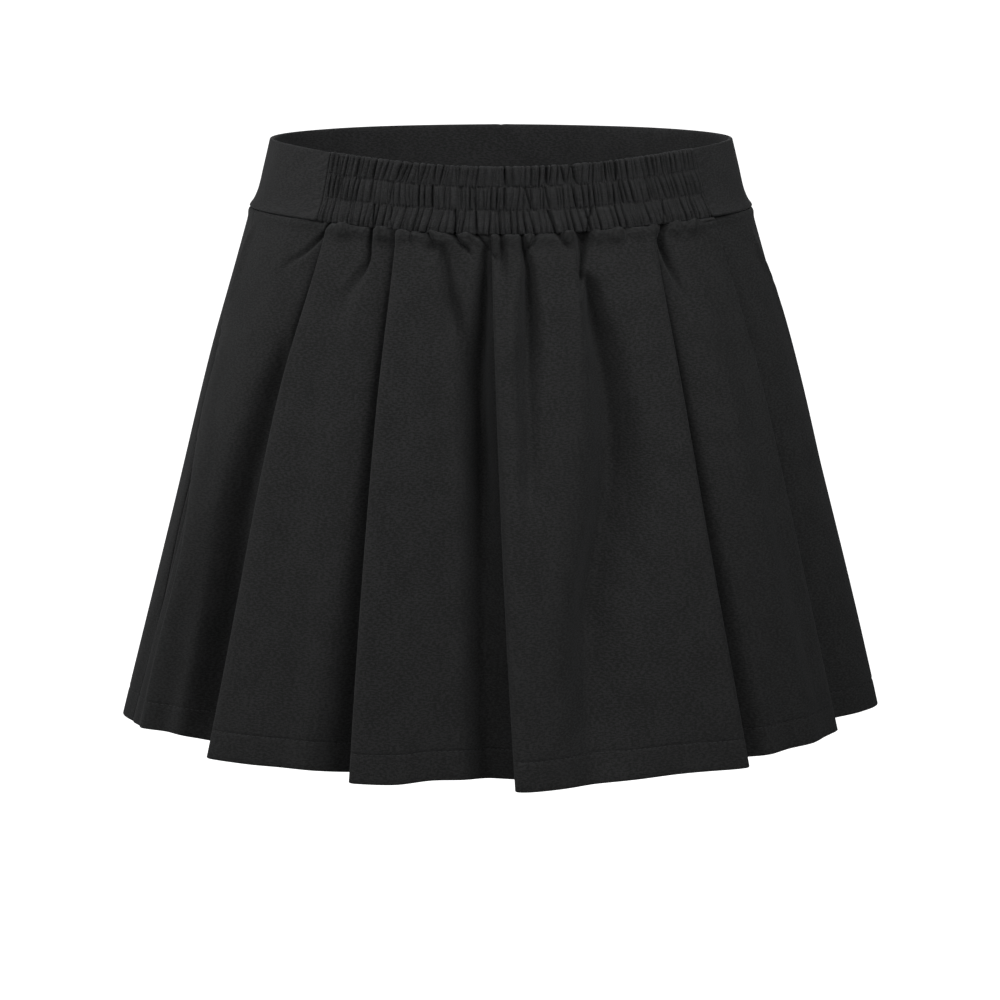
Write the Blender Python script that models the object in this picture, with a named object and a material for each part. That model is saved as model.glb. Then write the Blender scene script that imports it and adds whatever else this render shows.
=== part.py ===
"""Tennis skort: a knife-pleated skirt over plain shorts, both hung from one waistband.

The garment hangs filled out, as if it were worn. The front faces -Y and Z is up. The origin is
the middle of the waist, halfway up the waistband. Every piece of cloth is one thin closed wall,
and pieces that are sewn together stand SEAM_GAP apart. A bearing is an angle round the waist in
degrees: 0 at the front, 90 at +X, 180 at the back.
"""
import math
from collections import namedtuple

import bmesh
import bpy
from mathutils import Vector

MM = 0.001                 # the sizes below are in millimetres

# Driving sizes
SEAM_GAP = 0.3             # between two pieces where a seam joins them
SHARP_FROM = math.radians(50)   # an edge that turns more than this is shown as sharp
BAND_HEIGHT = 41.0         # waistband, at the side
BAND_WALL = 2.4            # two layers of cloth
CLOTH = 1.2                # skirt and shorts
HEM_HEIGHT = -331.6        # level hem, below the origin
RIM_DIP = 9.0              # the front of the rim hangs this much lower than its sides
SEAM_DIP = 5.5             # and the front of the waist seam this much
LEFT_JOIN = (-45.5, -45.6)  # bearings where the gathered front meets the plain band: at the
RIGHT_JOIN = (54.1, 55.3)   # rim and at the waist seam
LEFT_SEAM = -75.5          # bearings of the skirt's side seams
RIGHT_SEAM = 100.0

# Gathered front of the waistband: three elastic channels between four lines of stitching
GATHERS = 58
GATHER_SHAPE = (-0.35, 0.6, 1.0, 0.5)     # height of one gather at four places across it
CHANNELS = (0.0, 0.29, 0.66, 1.0)         # rim, two lines of stitching and the waist seam
CHANNEL_PUFF = 1.7
GATHER_HEIGHT = 1.4                       # in the middle of a channel
PUCKER_HEIGHT = 0.7                       # at a line of stitching
WIDTH_WAVES = ((0.24, 1.7, 0.0), (0.16, 4.1, 1.0))  # size, pace and start of the waves by which
HEIGHT_WAVE = (0.25, 2.3)                 # the gathers' widths, and their heights, are uneven
BACK_COLUMNS = 44                         # steps round the plain part of the band

# Knife pleats: three layers at each fold, pressed flat at the waist and open at the hem
LAYER_PITCH = 2.2          # from one layer's middle to the next, at the waist
HEM_PITCH = 6.0            # height of the rounded fold at the hem
LAYER_IN = -2.2            # where the innermost layer starts, out of the band's middle
RELAXED_OUT = 1.3          # where cloth with no pleat hangs, out of the same curve
APPROACH = 8.0             # a fold starts this far before its edge
SEAM_OVERRUN = 4.0         # degrees that a level line is drawn past its seam, then cut back
HIP = 0.35                 # share of the way down where the pleats' hip column is read
OPENING_POWER = 1.4        # how late on the way down the pleats open
SKIRT_ROWS = (0.0, 0.05, 0.14, 0.26, 0.4, 0.55, 0.7, 0.85, 1.0)

# Level curves. "at" runs from 0 at the rim or the waist seam to 1 at the seam or the hem.
Ring = namedtuple("Ring", "at half_width front back flatness")
BAND_RINGS = (
    Ring(0.0, 137.6, 97.0, 97.0, 1.0),
    Ring(0.4, 141.3, 99.5, 99.5, 1.0),
    Ring(0.75, 144.7, 102.5, 102.0, 1.0),
    Ring(1.0, 149.0, 106.0, 105.0, 1.0),
)
SKIRT_RINGS = (
    Ring(0.0, 149.0, 106.0, 105.0, 1.0),
    Ring(0.1, 157.8, 112.0, 111.5, 1.0),
    Ring(0.3, 175.7, 124.0, 125.0, 1.03),
    Ring(0.6, 199.6, 143.0, 145.0, 1.07),
    Ring(1.0, 232.2, 165.0, 170.0, 1.12),
)

# One row for each pleat, left to right round the outside. "faces" is the side its edge looks to.
# The next three are the edge's bearing, then how far the cloth laps under the edge, and then how
# far the edge stands out at the hem and how far the cloth under it lies out there.
Pleat = namedtuple("Pleat", "name faces waist hip hem lap_waist lap_hem crest tuck")
Edge = namedtuple("Edge", "at bearing")
FRONT_PLEATS = (
    Pleat("left_outer", -1, -43.7, -47.4, -46.0, 12.0, 20.0, 9.5, -9.5),
    Pleat("left_inner", -1, -25.0, -24.2, -20.9, 12.0, 20.0, 17.0, -0.5),
    Pleat("centre_left", -1, -2.6, -0.6, 1.9, 13.0, 22.0, 23.5, -0.5),
    Pleat("centre_right", 1, 36.1, 37.2, 36.9, 13.0, 22.0, 9.0, -5.5),
    Pleat("right_outer", 1, 55.6, 61.0, 65.7, 12.0, 18.0, -8.5, -22.0),
)
BACK_PLEATS = (
    Pleat("right_back", -1, 123.0, 121.5, 120.0, 12.0, 20.0, 12.0, -6.0),
    Pleat("right_inner_back", -1, 146.0, 145.0, 144.0, 12.0, 20.0, 14.0, -4.0),
    Pleat("centre_right_back", -1, 170.0, 170.5, 171.0, 13.0, 22.0, 18.0, -2.0),
    Pleat("centre_left_back", 1, 211.0, 211.5, 212.0, 13.0, 22.0, 16.0, -3.0),
    Pleat("left_inner_back", 1, 236.0, 237.0, 238.5, 12.0, 20.0, 11.0, -6.0),
    Pleat("left_back", 1, 255.0, 256.0, 257.0, 12.0, 18.0, 7.0, -7.0),
)
# One row for each panel between two pleats: how far it bellies out at the hem, a third and two
# thirds of the way across, past the straight run from one pleat to the next.
Panel = namedtuple("Panel", "name first second")
FRONT_PANELS = (
    Panel("left_side", 0.5, -3.0),
    Panel("left_outer", 0.0, -1.7),
    Panel("left_inner", 2.4, -1.0),
    Panel("centre", -6.0, -9.5),
    Panel("right_inner", 0.0, 2.0),
    Panel("right_side", 6.0, 8.5),
)
BACK_PANELS = (
    Panel("right_side", 3.0, -2.0),
    Panel("right_outer", 1.5, -2.0),
    Panel("right_inner", 2.5, -1.5),
    Panel("centre", -7.0, -8.0),
    Panel("left_inner", -1.0, 2.5),
    Panel("left_outer", -2.0, 2.0),
    Panel("left_side", 4.5, 4.0),
)

# Shorts: a half tube down to the hips, then a leg whose inner edges curve in to meet
SHORTS_LIFT = 5.0          # they reach this far up behind the waistband
BAND_INSET = 2.3           # inside the band's middle, behind the band
SEAM_INSET = 4.0           # and at the waist seam, where they clear the pleats' layers
SHORTS_COLUMNS = 18
CROTCH_TURNS = (0.2, 0.4, 0.6, 0.8, 1.0)  # shares of the quarter turn from hips to crotch
HIP_DROP = 150.0           # from the origin down to where the legs start to part
CROTCH_DEPTH = 85.0        # from there to the crotch
LEG_PART = 5.0             # from the middle to a leg's inner side, at its hem
ShortsRing = namedtuple("ShortsRing", "drop half_width front back")
HIP_RINGS = (
    ShortsRing(45.0, 151.0, 105.5, 104.0),
    ShortsRing(80.0, 160.0, 111.0, 111.0),
    ShortsRing(115.0, 166.0, 114.0, 117.0),
    ShortsRing(HIP_DROP, 168.0, 114.0, 119.0),
)
LEG_RINGS = (
    HIP_RINGS[-1],
    ShortsRing(HIP_DROP + CROTCH_DEPTH, 168.0, 98.0, 106.0),
    ShortsRing(262.0, 166.0, 94.0, 101.0),
    ShortsRing(290.0, 164.0, 91.0, 97.0),
)

Look = namedtuple("Look", "name color roughness")
OUTER_CLOTH = Look("black_skirt_cloth", (0.021, 0.021, 0.022), 0.82)
BAND_CLOTH = Look("black_waistband_cloth", (0.024, 0.024, 0.025), 0.78)
SHORTS_KNIT = Look("black_shorts_knit", (0.017, 0.017, 0.018), 0.7)


# Numbers along a table, and smooth lines

def slope(rows, index, column):
    """The steepness of a column at one row, from the rows on either side."""
    before = rows[max(index - 1, 0)]
    after = rows[min(index + 1, len(rows) - 1)]
    return (after[column] - before[column]) / (after[0] - before[0])


def along(rows, at):
    """A table's row at any value of its first column, on smooth curves through its rows."""
    index = 0
    while index < len(rows) - 2 and at > rows[index + 1][0]:
        index += 1
    low, high = rows[index], rows[index + 1]
    span = high[0] - low[0]
    t = (at - low[0]) / span
    values = [at]
    for column in range(1, len(low)):
        start = slope(rows, index, column) * span
        end = slope(rows, index + 1, column) * span
        values.append((2 * t**3 - 3 * t**2 + 1) * low[column] + (t**3 - 2 * t**2 + t) * start
                      + (3 * t**2 - 2 * t**3) * high[column] + (t**3 - t**2) * end)
    return type(low)(*values)


def mix(start, end, share):
    return start + (end - start) * share


def smooth_line(stations):
    """Points on a centripetal curve through (point, steps to the next point) stations."""
    points = [point for point, steps in stations]
    points.insert(0, 2 * points[0] - points[1])
    points.append(2 * points[-1] - points[-2])
    line = [points[1]]
    for index, (point, steps) in enumerate(stations[:-1]):
        before, start, end, after = points[index:index + 4]
        gap_before = math.sqrt((start - before).length)
        gap = math.sqrt((end - start).length)
        gap_after = math.sqrt((after - end).length)
        leave = ((start - before) / gap_before - (end - before) / (gap_before + gap)
                 + (end - start) / gap) * gap
        arrive = ((end - start) / gap - (after - start) / (gap + gap_after)
                  + (after - end) / gap_after) * gap
        for step in range(1, steps + 1):
            t = step / steps
            line.append((2 * t**3 - 3 * t**2 + 1) * start + (t**3 - 2 * t**2 + t) * leave
                        + (3 * t**2 - 2 * t**3) * end + (t**3 - t**2) * arrive)
    return line


# The level curves that the band and the skirt follow

def ring_run(ring, bearing):
    """The way along a ring at a bearing, in millimetres for each radian."""
    sine, cosine = math.sin(math.radians(bearing)), math.cos(math.radians(bearing))
    depth = ring.front if cosine > 0 else ring.back
    fullness = max(abs(cosine), 1e-6) ** (ring.flatness - 1)
    return ring.half_width * cosine, depth * ring.flatness * fullness * sine


def ring_point(ring, bearing, out, height):
    """A point of a ring, moved out of the curve by a distance in millimetres."""
    sine, cosine = math.sin(math.radians(bearing)), math.cos(math.radians(bearing))
    depth = ring.front if cosine > 0 else ring.back
    run_x, run_y = ring_run(ring, bearing)
    run = math.hypot(run_x, run_y)
    x = ring.half_width * sine + out * run_y / run
    y = -math.copysign(depth * abs(cosine) ** ring.flatness, cosine) - out * run_x / run
    return Vector((x, y, height))


def half_gap(ring, bearing):
    """Half a seam gap as an angle along a ring, in degrees."""
    return math.degrees(SEAM_GAP / 2 / math.hypot(*ring_run(ring, bearing)))


def front_share(bearing):
    """1 at the middle of the front, falling to 0 at the sides and all round the back."""
    return max(math.cos(math.radians(bearing)), 0.0)


def rim_height(bearing):
    return BAND_HEIGHT / 2 - RIM_DIP * front_share(bearing) ** 3


def seam_height(bearing):
    return -BAND_HEIGHT / 2 - SEAM_DIP * front_share(bearing) ** 4


# Closed walls

def rim_faces(mesh, outer_edge, inner_edge):
    """Faces between two edges of a wall, where the inner may be coarser by a whole factor."""
    ratio = (len(outer_edge) - 1) // (len(inner_edge) - 1)
    for index in range(len(inner_edge) - 1):
        fine = outer_edge[index * ratio:(index + 1) * ratio + 1]
        mesh.faces.new(fine + [inner_edge[index + 1], inner_edge[index]])


def closed_wall(outer, inner):
    """A mesh between two sheets of points, each a list of rows from the top down.

    The inner sheet may be coarser by a whole factor, in its rows and in its columns.
    """
    mesh = bmesh.new()
    sheets = []
    for rows in (outer, inner):
        sheet = [[mesh.verts.new(point * MM) for point in row] for row in rows]
        for upper, lower in zip(sheet, sheet[1:]):
            for column in range(len(upper) - 1):
                mesh.faces.new((upper[column], lower[column],
                                lower[column + 1], upper[column + 1]))
        sheets.append(sheet)
    outside, inside = sheets
    for end in (0, -1):
        rim_faces(mesh, outside[end], inside[end])
        rim_faces(mesh, [row[end] for row in outside], [row[end] for row in inside])
    bmesh.ops.recalc_face_normals(mesh, faces=mesh.faces)
    bmesh.ops.triangulate(mesh, faces=mesh.faces, quad_method="FIXED", ngon_method="EAR_CLIP")
    return mesh


def cloth_object(name, mesh, look):
    """A named object with its own material, shaded smooth over its soft curves."""
    data = bpy.data.meshes.new(name)
    mesh.to_mesh(data)
    mesh.free()
    data.shade_smooth()
    data.set_sharp_from_angle(angle=SHARP_FROM)
    material = bpy.data.materials.new(look.name + "_" + name)
    material.use_nodes = True
    shader = material.node_tree.nodes["Principled BSDF"]
    shader.inputs["Base Color"].default_value = (*look.color, 1.0)
    shader.inputs["Roughness"].default_value = look.roughness
    shader.inputs["Metallic"].default_value = 0.0
    data.materials.append(material)
    piece = bpy.data.objects.new(name, data)
    bpy.context.collection.objects.link(piece)
    return piece


def thicken(line, thickness):
    """A level line's two faces, half the thickness to either side of it."""
    outer, inner = [], []
    for index, point in enumerate(line):
        way = line[min(index + 1, len(line) - 1)] - line[max(index - 1, 0)]
        side = Vector((way.y, -way.x, 0.0)).normalized() * thickness / 2
        outer.append(point + side)
        inner.append(point - side)
    return outer, inner


# Waistband

def channel_share(down):
    """How far a height on the band is into its channel: 0 on a stitch line, 1 in the middle."""
    for top, bottom in zip(CHANNELS, CHANNELS[1:]):
        if down <= bottom:
            return math.sin(math.pi * (down - top) / (bottom - top))
    return 0.0


def gather_edges():
    """Where each gather starts, as shares of the gathered length: they are uneven."""
    widths = [1 + sum(size * math.sin(pace * gather + start) for size, pace, start in WIDTH_WAVES)
              for gather in range(GATHERS)]
    edges = [0.0]
    for width in widths:
        edges.append(edges[-1] + width / sum(widths))
    return edges


def front_span(down):
    """The bearings where the gathered front starts and ends, at one height on the band."""
    start = mix(*LEFT_JOIN, down)
    end = mix(*RIGHT_JOIN, down)
    gap = half_gap(along(BAND_RINGS, down), start)
    return start + gap, end - gap


def band_point(down, bearing, out):
    height = mix(rim_height(bearing), seam_height(bearing), down)
    return ring_point(along(BAND_RINGS, down), bearing, out, height)


def gathered_front():
    """The front of the band: gathers raised in its outer points over a plain inside."""
    edges = gather_edges()
    rows = []
    for top, bottom in zip(CHANNELS, CHANNELS[1:]):
        rows += [top, (top + bottom) / 2]
    rows.append(CHANNELS[-1])
    per_gather = len(GATHER_SHAPE)
    outer = []
    for down in rows:
        start, end = front_span(down)
        puff = channel_share(down)
        height = mix(PUCKER_HEIGHT, GATHER_HEIGHT, puff)
        line = []
        for index in range(GATHERS * per_gather + 1):
            gather, place = divmod(index, per_gather)
            width = edges[gather + 1] - edges[gather] if gather < GATHERS else 0.0
            share = edges[gather] + width * place / per_gather
            size, pace = HEIGHT_WAVE
            unevenness = 1 - size + size * math.sin(pace * gather)
            settle = max(min(index, GATHERS * per_gather - index, per_gather), 1) / per_gather
            relief = CHANNEL_PUFF * puff + height * unevenness * GATHER_SHAPE[place]
            line.append(band_point(down, mix(start, end, share), BAND_WALL / 2 + relief * settle))
        outer.append(line)
    inner = []
    for down in CHANNELS:
        start, end = front_span(down)
        inner.append([band_point(down, mix(start, end, share), -BAND_WALL / 2)
                      for share in edges])
    return closed_wall(outer, inner)


def plain_back():
    """The rest of the band: it wraps round both sides to the front."""
    outer, inner = [], []
    for down in CHANNELS:
        start, end = front_span(down)
        gap = 2 * half_gap(along(BAND_RINGS, down), start)
        bearings = [mix(end + gap, start + 360 - gap, column / BACK_COLUMNS)
                    for column in range(BACK_COLUMNS + 1)]
        outer.append([band_point(down, bearing, BAND_WALL / 2) for bearing in bearings])
        inner.append([band_point(down, bearing, -BAND_WALL / 2) for bearing in bearings])
    return closed_wall(outer, inner)


# Skirt

def pleat_edge(pleat, down):
    """The bearing of a pleat's edge on the way down."""
    rows = (Edge(0.0, pleat.waist), Edge(HIP, pleat.hip), Edge(1.0, pleat.hem))
    return along(rows, down).bearing


def opening(down):
    return down ** OPENING_POWER


def fold_levels(pleat, down):
    """How far out a pleat's outer layer and its innermost layer lie."""
    open_share = opening(down)
    outer = mix(LAYER_IN + 2 * LAYER_PITCH, pleat.crest, open_share)
    inner = mix(LAYER_IN, pleat.tuck, open_share)
    return outer, inner


def fold_places(pleat, down):
    """The places along a knife pleat, as (way along from its edge, distance out, steps)."""
    outer, inner = fold_levels(pleat, down)
    lap = mix(pleat.lap_waist, pleat.lap_hem, down)
    turn = mix(LAYER_PITCH, HEM_PITCH, opening(down))
    turn = min(turn, (outer - inner) / 2)
    tip = turn / 2
    return [
        (-APPROACH, inner, 1),
        (0.0, inner, 2),
        (lap - tip, inner, 2),
        (lap, inner + tip, 2),
        (lap - tip, inner + turn, 2),
        (tip, outer - turn, 2),
        (0.0, outer - tip, 2),
        (tip, outer, 1),
        (APPROACH, outer, 2),
    ]


def fold_stations(pleat, down, ring):
    """A pleat's places as (bearing, distance out, steps to the next), left to right."""
    edge = pleat_edge(pleat, down)
    run = math.hypot(*ring_run(ring, edge))
    places = fold_places(pleat, down)
    if pleat.faces > 0:
        steps = [place[2] for place in places]
        places = [(-way, out, step) for (way, out, old), step
                  in zip(reversed(places), steps[-2::-1] + steps[-1:])]
    return [(edge + math.degrees(way / run), out, steps) for way, out, steps in places]


def skirt_stations(pleats, panels, start, end, down, ring):
    """All the places along one half of the skirt at one height."""
    folds = [fold_stations(pleat, down, ring) for pleat in pleats]
    stations = [(start, RELAXED_OUT, 2)]
    for panel, fold in zip(panels, folds + [[(end, RELAXED_OUT, 1)]]):
        left, right = stations[-1], fold[0]
        for third, belly in ((1 / 3, panel.first), (2 / 3, panel.second)):
            bearing = mix(left[0], right[0], third)
            open_out = mix(left[1], right[1], third) + belly
            stations.append((bearing, mix(RELAXED_OUT, open_out, opening(down)), 2))
        stations += fold
    return stations


def skirt_half(pleats, panels, left_seam, right_seam):
    """One half of the skirt, front or back, from its left seam to its right one."""
    outer_rows, inner_rows = [], []
    for down in SKIRT_ROWS:
        ring = along(SKIRT_RINGS, down)
        start = left_seam + half_gap(ring, left_seam)
        end = right_seam - half_gap(ring, right_seam)
        stations = skirt_stations(pleats, panels, start, end, down, ring)
        stations.insert(0, (left_seam - SEAM_OVERRUN, RELAXED_OUT, 1))
        stations.append((right_seam + SEAM_OVERRUN, RELAXED_OUT, 1))
        line = []
        for bearing, out, steps in stations:
            height = mix(seam_height(bearing) - SEAM_GAP, HEM_HEIGHT, down)
            line.append((ring_point(ring, bearing, out, height), steps))
        outer, inner = thicken(smooth_line(line), CLOTH)
        outer_rows.append(outer[1:-1])
        inner_rows.append(inner[1:-1])
    return closed_wall(outer_rows, inner_rows)


# Shorts

def shorts_line(ring, turn, inner_side):
    """A right leg's level line from its front edge round the outside to its back edge.

    "turn" is how far the edges have come round from the middle of the garment, where the two
    legs meet, to the inside of the leg, where the leg's own edges meet.
    """
    quarter = turn * math.pi / 2
    width = (ring.half_width - inner_side) / (1 + math.sin(quarter))
    middle = ring.half_width - width
    line = []
    for column in range(SHORTS_COLUMNS + 1):
        angle = mix(-quarter, math.pi + quarter, column / SHORTS_COLUMNS)
        depth = ring.front if math.cos(angle) > 0 else ring.back
        line.append(Vector((middle + width * math.sin(angle), -depth * math.cos(angle),
                            -ring.drop)))
    return line


def shorts_lines():
    """The right leg's level lines, from behind the waistband down to the leg's hem."""
    lines = []
    edge = SEAM_GAP / 2
    for lift, inset in ((SHORTS_LIFT, BAND_INSET), (-SEAM_GAP, SEAM_INSET)):
        ring = along(BAND_RINGS, 1 - lift / BAND_HEIGHT)
        line = []
        for column in range(SHORTS_COLUMNS + 1):
            bearing = 180 * column / SHORTS_COLUMNS
            line.append(ring_point(ring, bearing, -inset, seam_height(bearing) + lift))
        line[0].x = line[-1].x = edge
        lines.append(line)
    for ring in HIP_RINGS:
        lines.append(shorts_line(ring, 0.0, edge))
    for turn in CROTCH_TURNS:
        drop = HIP_DROP + CROTCH_DEPTH * math.sin(turn * math.pi / 2)
        lines.append(shorts_line(along(LEG_RINGS, drop), turn, edge + CLOTH / 2 * turn))
    crotch, hem = LEG_RINGS[1].drop, LEG_RINGS[-1].drop
    for ring in LEG_RINGS[2:]:
        share = (ring.drop - crotch) / (hem - crotch)
        lines.append(shorts_line(ring, 1.0, mix(edge + CLOTH / 2, LEG_PART, share)))
    return lines


def shorts_leg(side):
    """One leg of the shorts: side is 1 for +X and -1 for -X."""
    edge = SEAM_GAP / 2
    outer_rows, inner_rows = [], []
    for line in shorts_lines():
        for rows, face in zip((outer_rows, inner_rows), thicken(line, CLOTH)):
            for point in face:
                point.x = max(point.x, edge)
            face[0].y = min(face[0].y, -edge)
            face[-1].y = max(face[-1].y, edge)
            rows.append([Vector((side * point.x, point.y, point.z)) for point in face][::side])
    return closed_wall(outer_rows, inner_rows)


def main():
    for old in list(bpy.data.objects):
        bpy.data.objects.remove(old, do_unlink=True)
    cloth_object("waistband_front", gathered_front(), BAND_CLOTH)
    cloth_object("waistband_back", plain_back(), BAND_CLOTH)
    cloth_object("skirt_front", skirt_half(FRONT_PLEATS, FRONT_PANELS, LEFT_SEAM, RIGHT_SEAM),
                 OUTER_CLOTH)
    cloth_object("skirt_back", skirt_half(BACK_PLEATS, BACK_PANELS, RIGHT_SEAM,
                                          LEFT_SEAM + 360), OUTER_CLOTH)
    cloth_object("shorts_right", shorts_leg(1), SHORTS_KNIT)
    cloth_object("shorts_left", shorts_leg(-1), SHORTS_KNIT)


main()
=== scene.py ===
"""The looks of the tennis skort: fine cloth, gathers, pleats, creases, seams and stitches.

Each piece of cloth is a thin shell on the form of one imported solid, drawn in finer steps from the
same sizes. Sizes are in millimetres. A bearing is an angle round the waist in degrees: 0 at the
front (-Y), 90 at +X and 180 at the back. "Down" runs from 0 at a piece's top to 1 at its bottom.
"""

import math
from bisect import bisect_right
from collections import namedtuple

import bmesh
import bpy
from mathutils import Matrix, Vector


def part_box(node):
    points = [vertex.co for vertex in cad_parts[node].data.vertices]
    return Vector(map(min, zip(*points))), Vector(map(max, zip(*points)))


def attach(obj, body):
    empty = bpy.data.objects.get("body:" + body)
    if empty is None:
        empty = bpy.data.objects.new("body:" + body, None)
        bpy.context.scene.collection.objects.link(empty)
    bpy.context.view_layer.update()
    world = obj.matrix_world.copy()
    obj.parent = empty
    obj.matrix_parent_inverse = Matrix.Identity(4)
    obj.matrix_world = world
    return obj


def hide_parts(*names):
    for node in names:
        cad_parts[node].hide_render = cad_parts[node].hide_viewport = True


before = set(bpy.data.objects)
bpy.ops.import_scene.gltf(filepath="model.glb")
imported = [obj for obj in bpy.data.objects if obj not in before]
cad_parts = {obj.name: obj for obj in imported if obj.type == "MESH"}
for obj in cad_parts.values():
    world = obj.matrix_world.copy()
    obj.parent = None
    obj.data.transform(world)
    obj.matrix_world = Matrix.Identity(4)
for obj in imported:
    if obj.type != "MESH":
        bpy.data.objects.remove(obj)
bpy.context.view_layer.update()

MM = 0.001


def table(kind, *rows):
    """Rows of one kind, from rows of its values."""
    return tuple(kind(*row) for row in rows)


# Sizes
SEAM_GAP = 0.3             # between the waistband and what hangs from it, as in the solids
SEWN_GAP = 0.05            # where cloth is sewn edge to edge, closer than the solids
BAND_HEIGHT = 41.0
BAND_WALL = 2.4
HEM_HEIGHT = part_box("skirt_front")[0].z / MM
RIM_DIP = 9.0
SEAM_DIP = 5.5
LEFT_JOIN = (-45.5, -45.6)
RIGHT_JOIN = (54.1, 55.3)
LEFT_SEAM = -75.5
RIGHT_SEAM = 100.0
GATHERS = 65
CHANNELS = (0.0, 0.29, 0.66, 1.0)
CHANNEL_PUFF = 0.8         # less than the solid's, as the gathers stand out by themselves
LAYER_PITCH = 2.2
LAYER_IN = -2.2
RELAXED_OUT = 1.3
SEAM_OVERRUN = 4.0
HIP = 0.35
OPENING_POWER = 1.4

Ring = namedtuple("Ring", "at half_width front back flatness")
BAND_RINGS = table(
    Ring,
    (0, 137.6, 97, 97, 1), (0.4, 141.3, 99.5, 99.5, 1), (0.75, 144.7, 102.5, 102, 1),
    (1, 149, 106, 105, 1))
SKIRT_RINGS = table(
    Ring,
    (0, 149, 106, 105, 1), (0.1, 157.8, 112, 111.5, 1), (0.3, 175.7, 124, 125, 1.03),
    (0.6, 199.6, 143, 145, 1.07), (1, 232.2, 165, 170, 1.12))
# "recess" is how much deeper than its solid the cloth beside a pleat's edge hangs at the hem, and
# "slot" is how wide that stretch is. "turn" is how thick the fold is midway, and "approach" is how
# far from its edge it starts to round. "brim" is how far up to the fold, as a share, the layer
# under it swells beside the edge.
Pleat = namedtuple("Pleat", "name faces waist hip hem lap_waist lap_hem crest tuck "
                            "recess slot turn approach brim", defaults=(8.0, 0.0))
Edge = namedtuple("Edge", "at bearing")
FRONT_PLEATS = table(
    Pleat,
    ("left_outer", -1, -41.7, -46.1, -46, 12, 20, 9.5, -9.5, 24, 48, 3),
    ("left_inner", -1, -23.4, -23, -20.7, 12, 20, 17, -0.5, 15, 28, 3),
    ("centre_left", -1, -2, -0.6, 1.9, 13, 22, 23.5, -0.5, 9, 17, 4.5, 8, 0.9),
    ("centre_right", 1, 35.4, 36.1, 36.9, 13, 22, 9, -5.5, 26, 26, 3),
    ("right_outer", 1, 55.6, 61.4, 65.7, 12, 18, -8.5, -22, 20, 28, 3, 18))
BACK_PLEATS = table(
    Pleat,
    ("right_back", -1, 123, 121.5, 120, 12, 20, 12, -6, 10, 24, 3.5),
    ("right_inner_back", -1, 146, 145, 144, 12, 20, 14, -4, 10, 24, 3.5),
    ("centre_right_back", -1, 170, 170.5, 171, 13, 22, 18, -2, 10, 24, 3.5),
    ("centre_left_back", 1, 211, 211.5, 212, 13, 22, 16, -3, 10, 24, 3.5),
    ("left_inner_back", 1, 236, 237, 238.5, 12, 20, 11, -6, 10, 24, 3.5),
    ("left_back", 1, 255, 256, 257, 12, 18, 7, -7, 10, 24, 3.5))
# The panels between pleats: bellies at the hem, and the steps in each third of the way across
Panel = namedtuple("Panel", "name first second steps")
FRONT_PANELS = table(
    Panel,
    ("left_side", 0.5, -3, 14),
    ("left_outer", 0, -1.7, 12),
    ("left_inner", 2.4, -3.5, 21),
    ("centre", -6, -9.5, 27),
    ("right_inner", 0, 2, 11),
    ("right_side", 6, 8.5, 11))
BACK_PANELS = table(
    Panel,
    ("right_side", 3, -2, 7),
    ("right_outer", 1.5, -2, 9),
    ("right_inner", 2.5, -1.5, 9),
    ("centre", -7, -8, 14),
    ("left_inner", -1, 2.5, 9),
    ("left_outer", -2, 2, 9),
    ("left_side", 4.5, 4, 9))
# Steps along a pleat's fold, from the layer under it round to its face
FOLD_STEPS = (4, 4, 3, 3, 3, 3, 5, 4, 4, 3, 2)
UNDER_FOLD = 4             # places of a fold up to the middle of its hidden layer
PRESSED_EDGE = 8           # the place of its edge

# Shorts
SHORTS_LIFT = 5.0
BAND_INSET = 1.7
SEAM_INSET = 4.0
SHORTS_COLUMNS = 96
ROWS_BETWEEN = 5           # steps between two of the shorts' level lines
CROTCH_TURNS = (0.2, 0.4, 0.6, 0.8, 1.0)
HIP_DROP = 150.0
CROTCH_DEPTH = 85.0
LEG_PART = 5.0
ShortsRing = namedtuple("ShortsRing", "drop half_width front back")
HIP_RINGS = table(
    ShortsRing,
    (45, 149, 102.5, 101.5), (80, 157.5, 107.5, 108), (115, 166, 114, 117),
    (HIP_DROP, 168, 114, 119))
LEG_RINGS = (HIP_RINGS[-1],) + table(
    ShortsRing,
    (HIP_DROP + CROTCH_DEPTH, 168, 98, 106), (262, 166, 94, 101), (290, 164, 91, 97))

# Cloth and sewing
CLOTH = 0.6                # one layer
HEM_ALLOWANCE = 16.0       # turned up inside and stitched
HEM_LAYER = 0.9            # from the cloth's middle to that of the turned-up layer
STITCH = 2.3
STITCH_GAP = 0.8
THREAD = 0.2               # half its thickness

# Level lines of the skirt, closer where the cloth is gathered or stitched
Stretch = namedtuple("Stretch", "start end steps")
SKIRT_STRETCHES = table(
    Stretch,
    (0, 0.02, 10), (0.02, 0.13, 26), (0.13, 0.932, 36), (0.932, 0.943, 2), (0.943, 0.954, 7),
    (0.954, 1, 6))
SKIRT_LENGTH = 311.0       # at its sides
STITCH_DOWN = 1 - HEM_ALLOWANCE / SKIRT_LENGTH

# Creases, each with rows from its top to its bottom. "left" and "right" are how wide it is to
# either side of its line, and "height" is how far it stands out, or lies in where it is below 0.
Crease = namedtuple("Crease", "down bearing left right height")


def creases(**tables):
    return {name: table(Crease, *rows) for name, rows in tables.items()}


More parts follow.
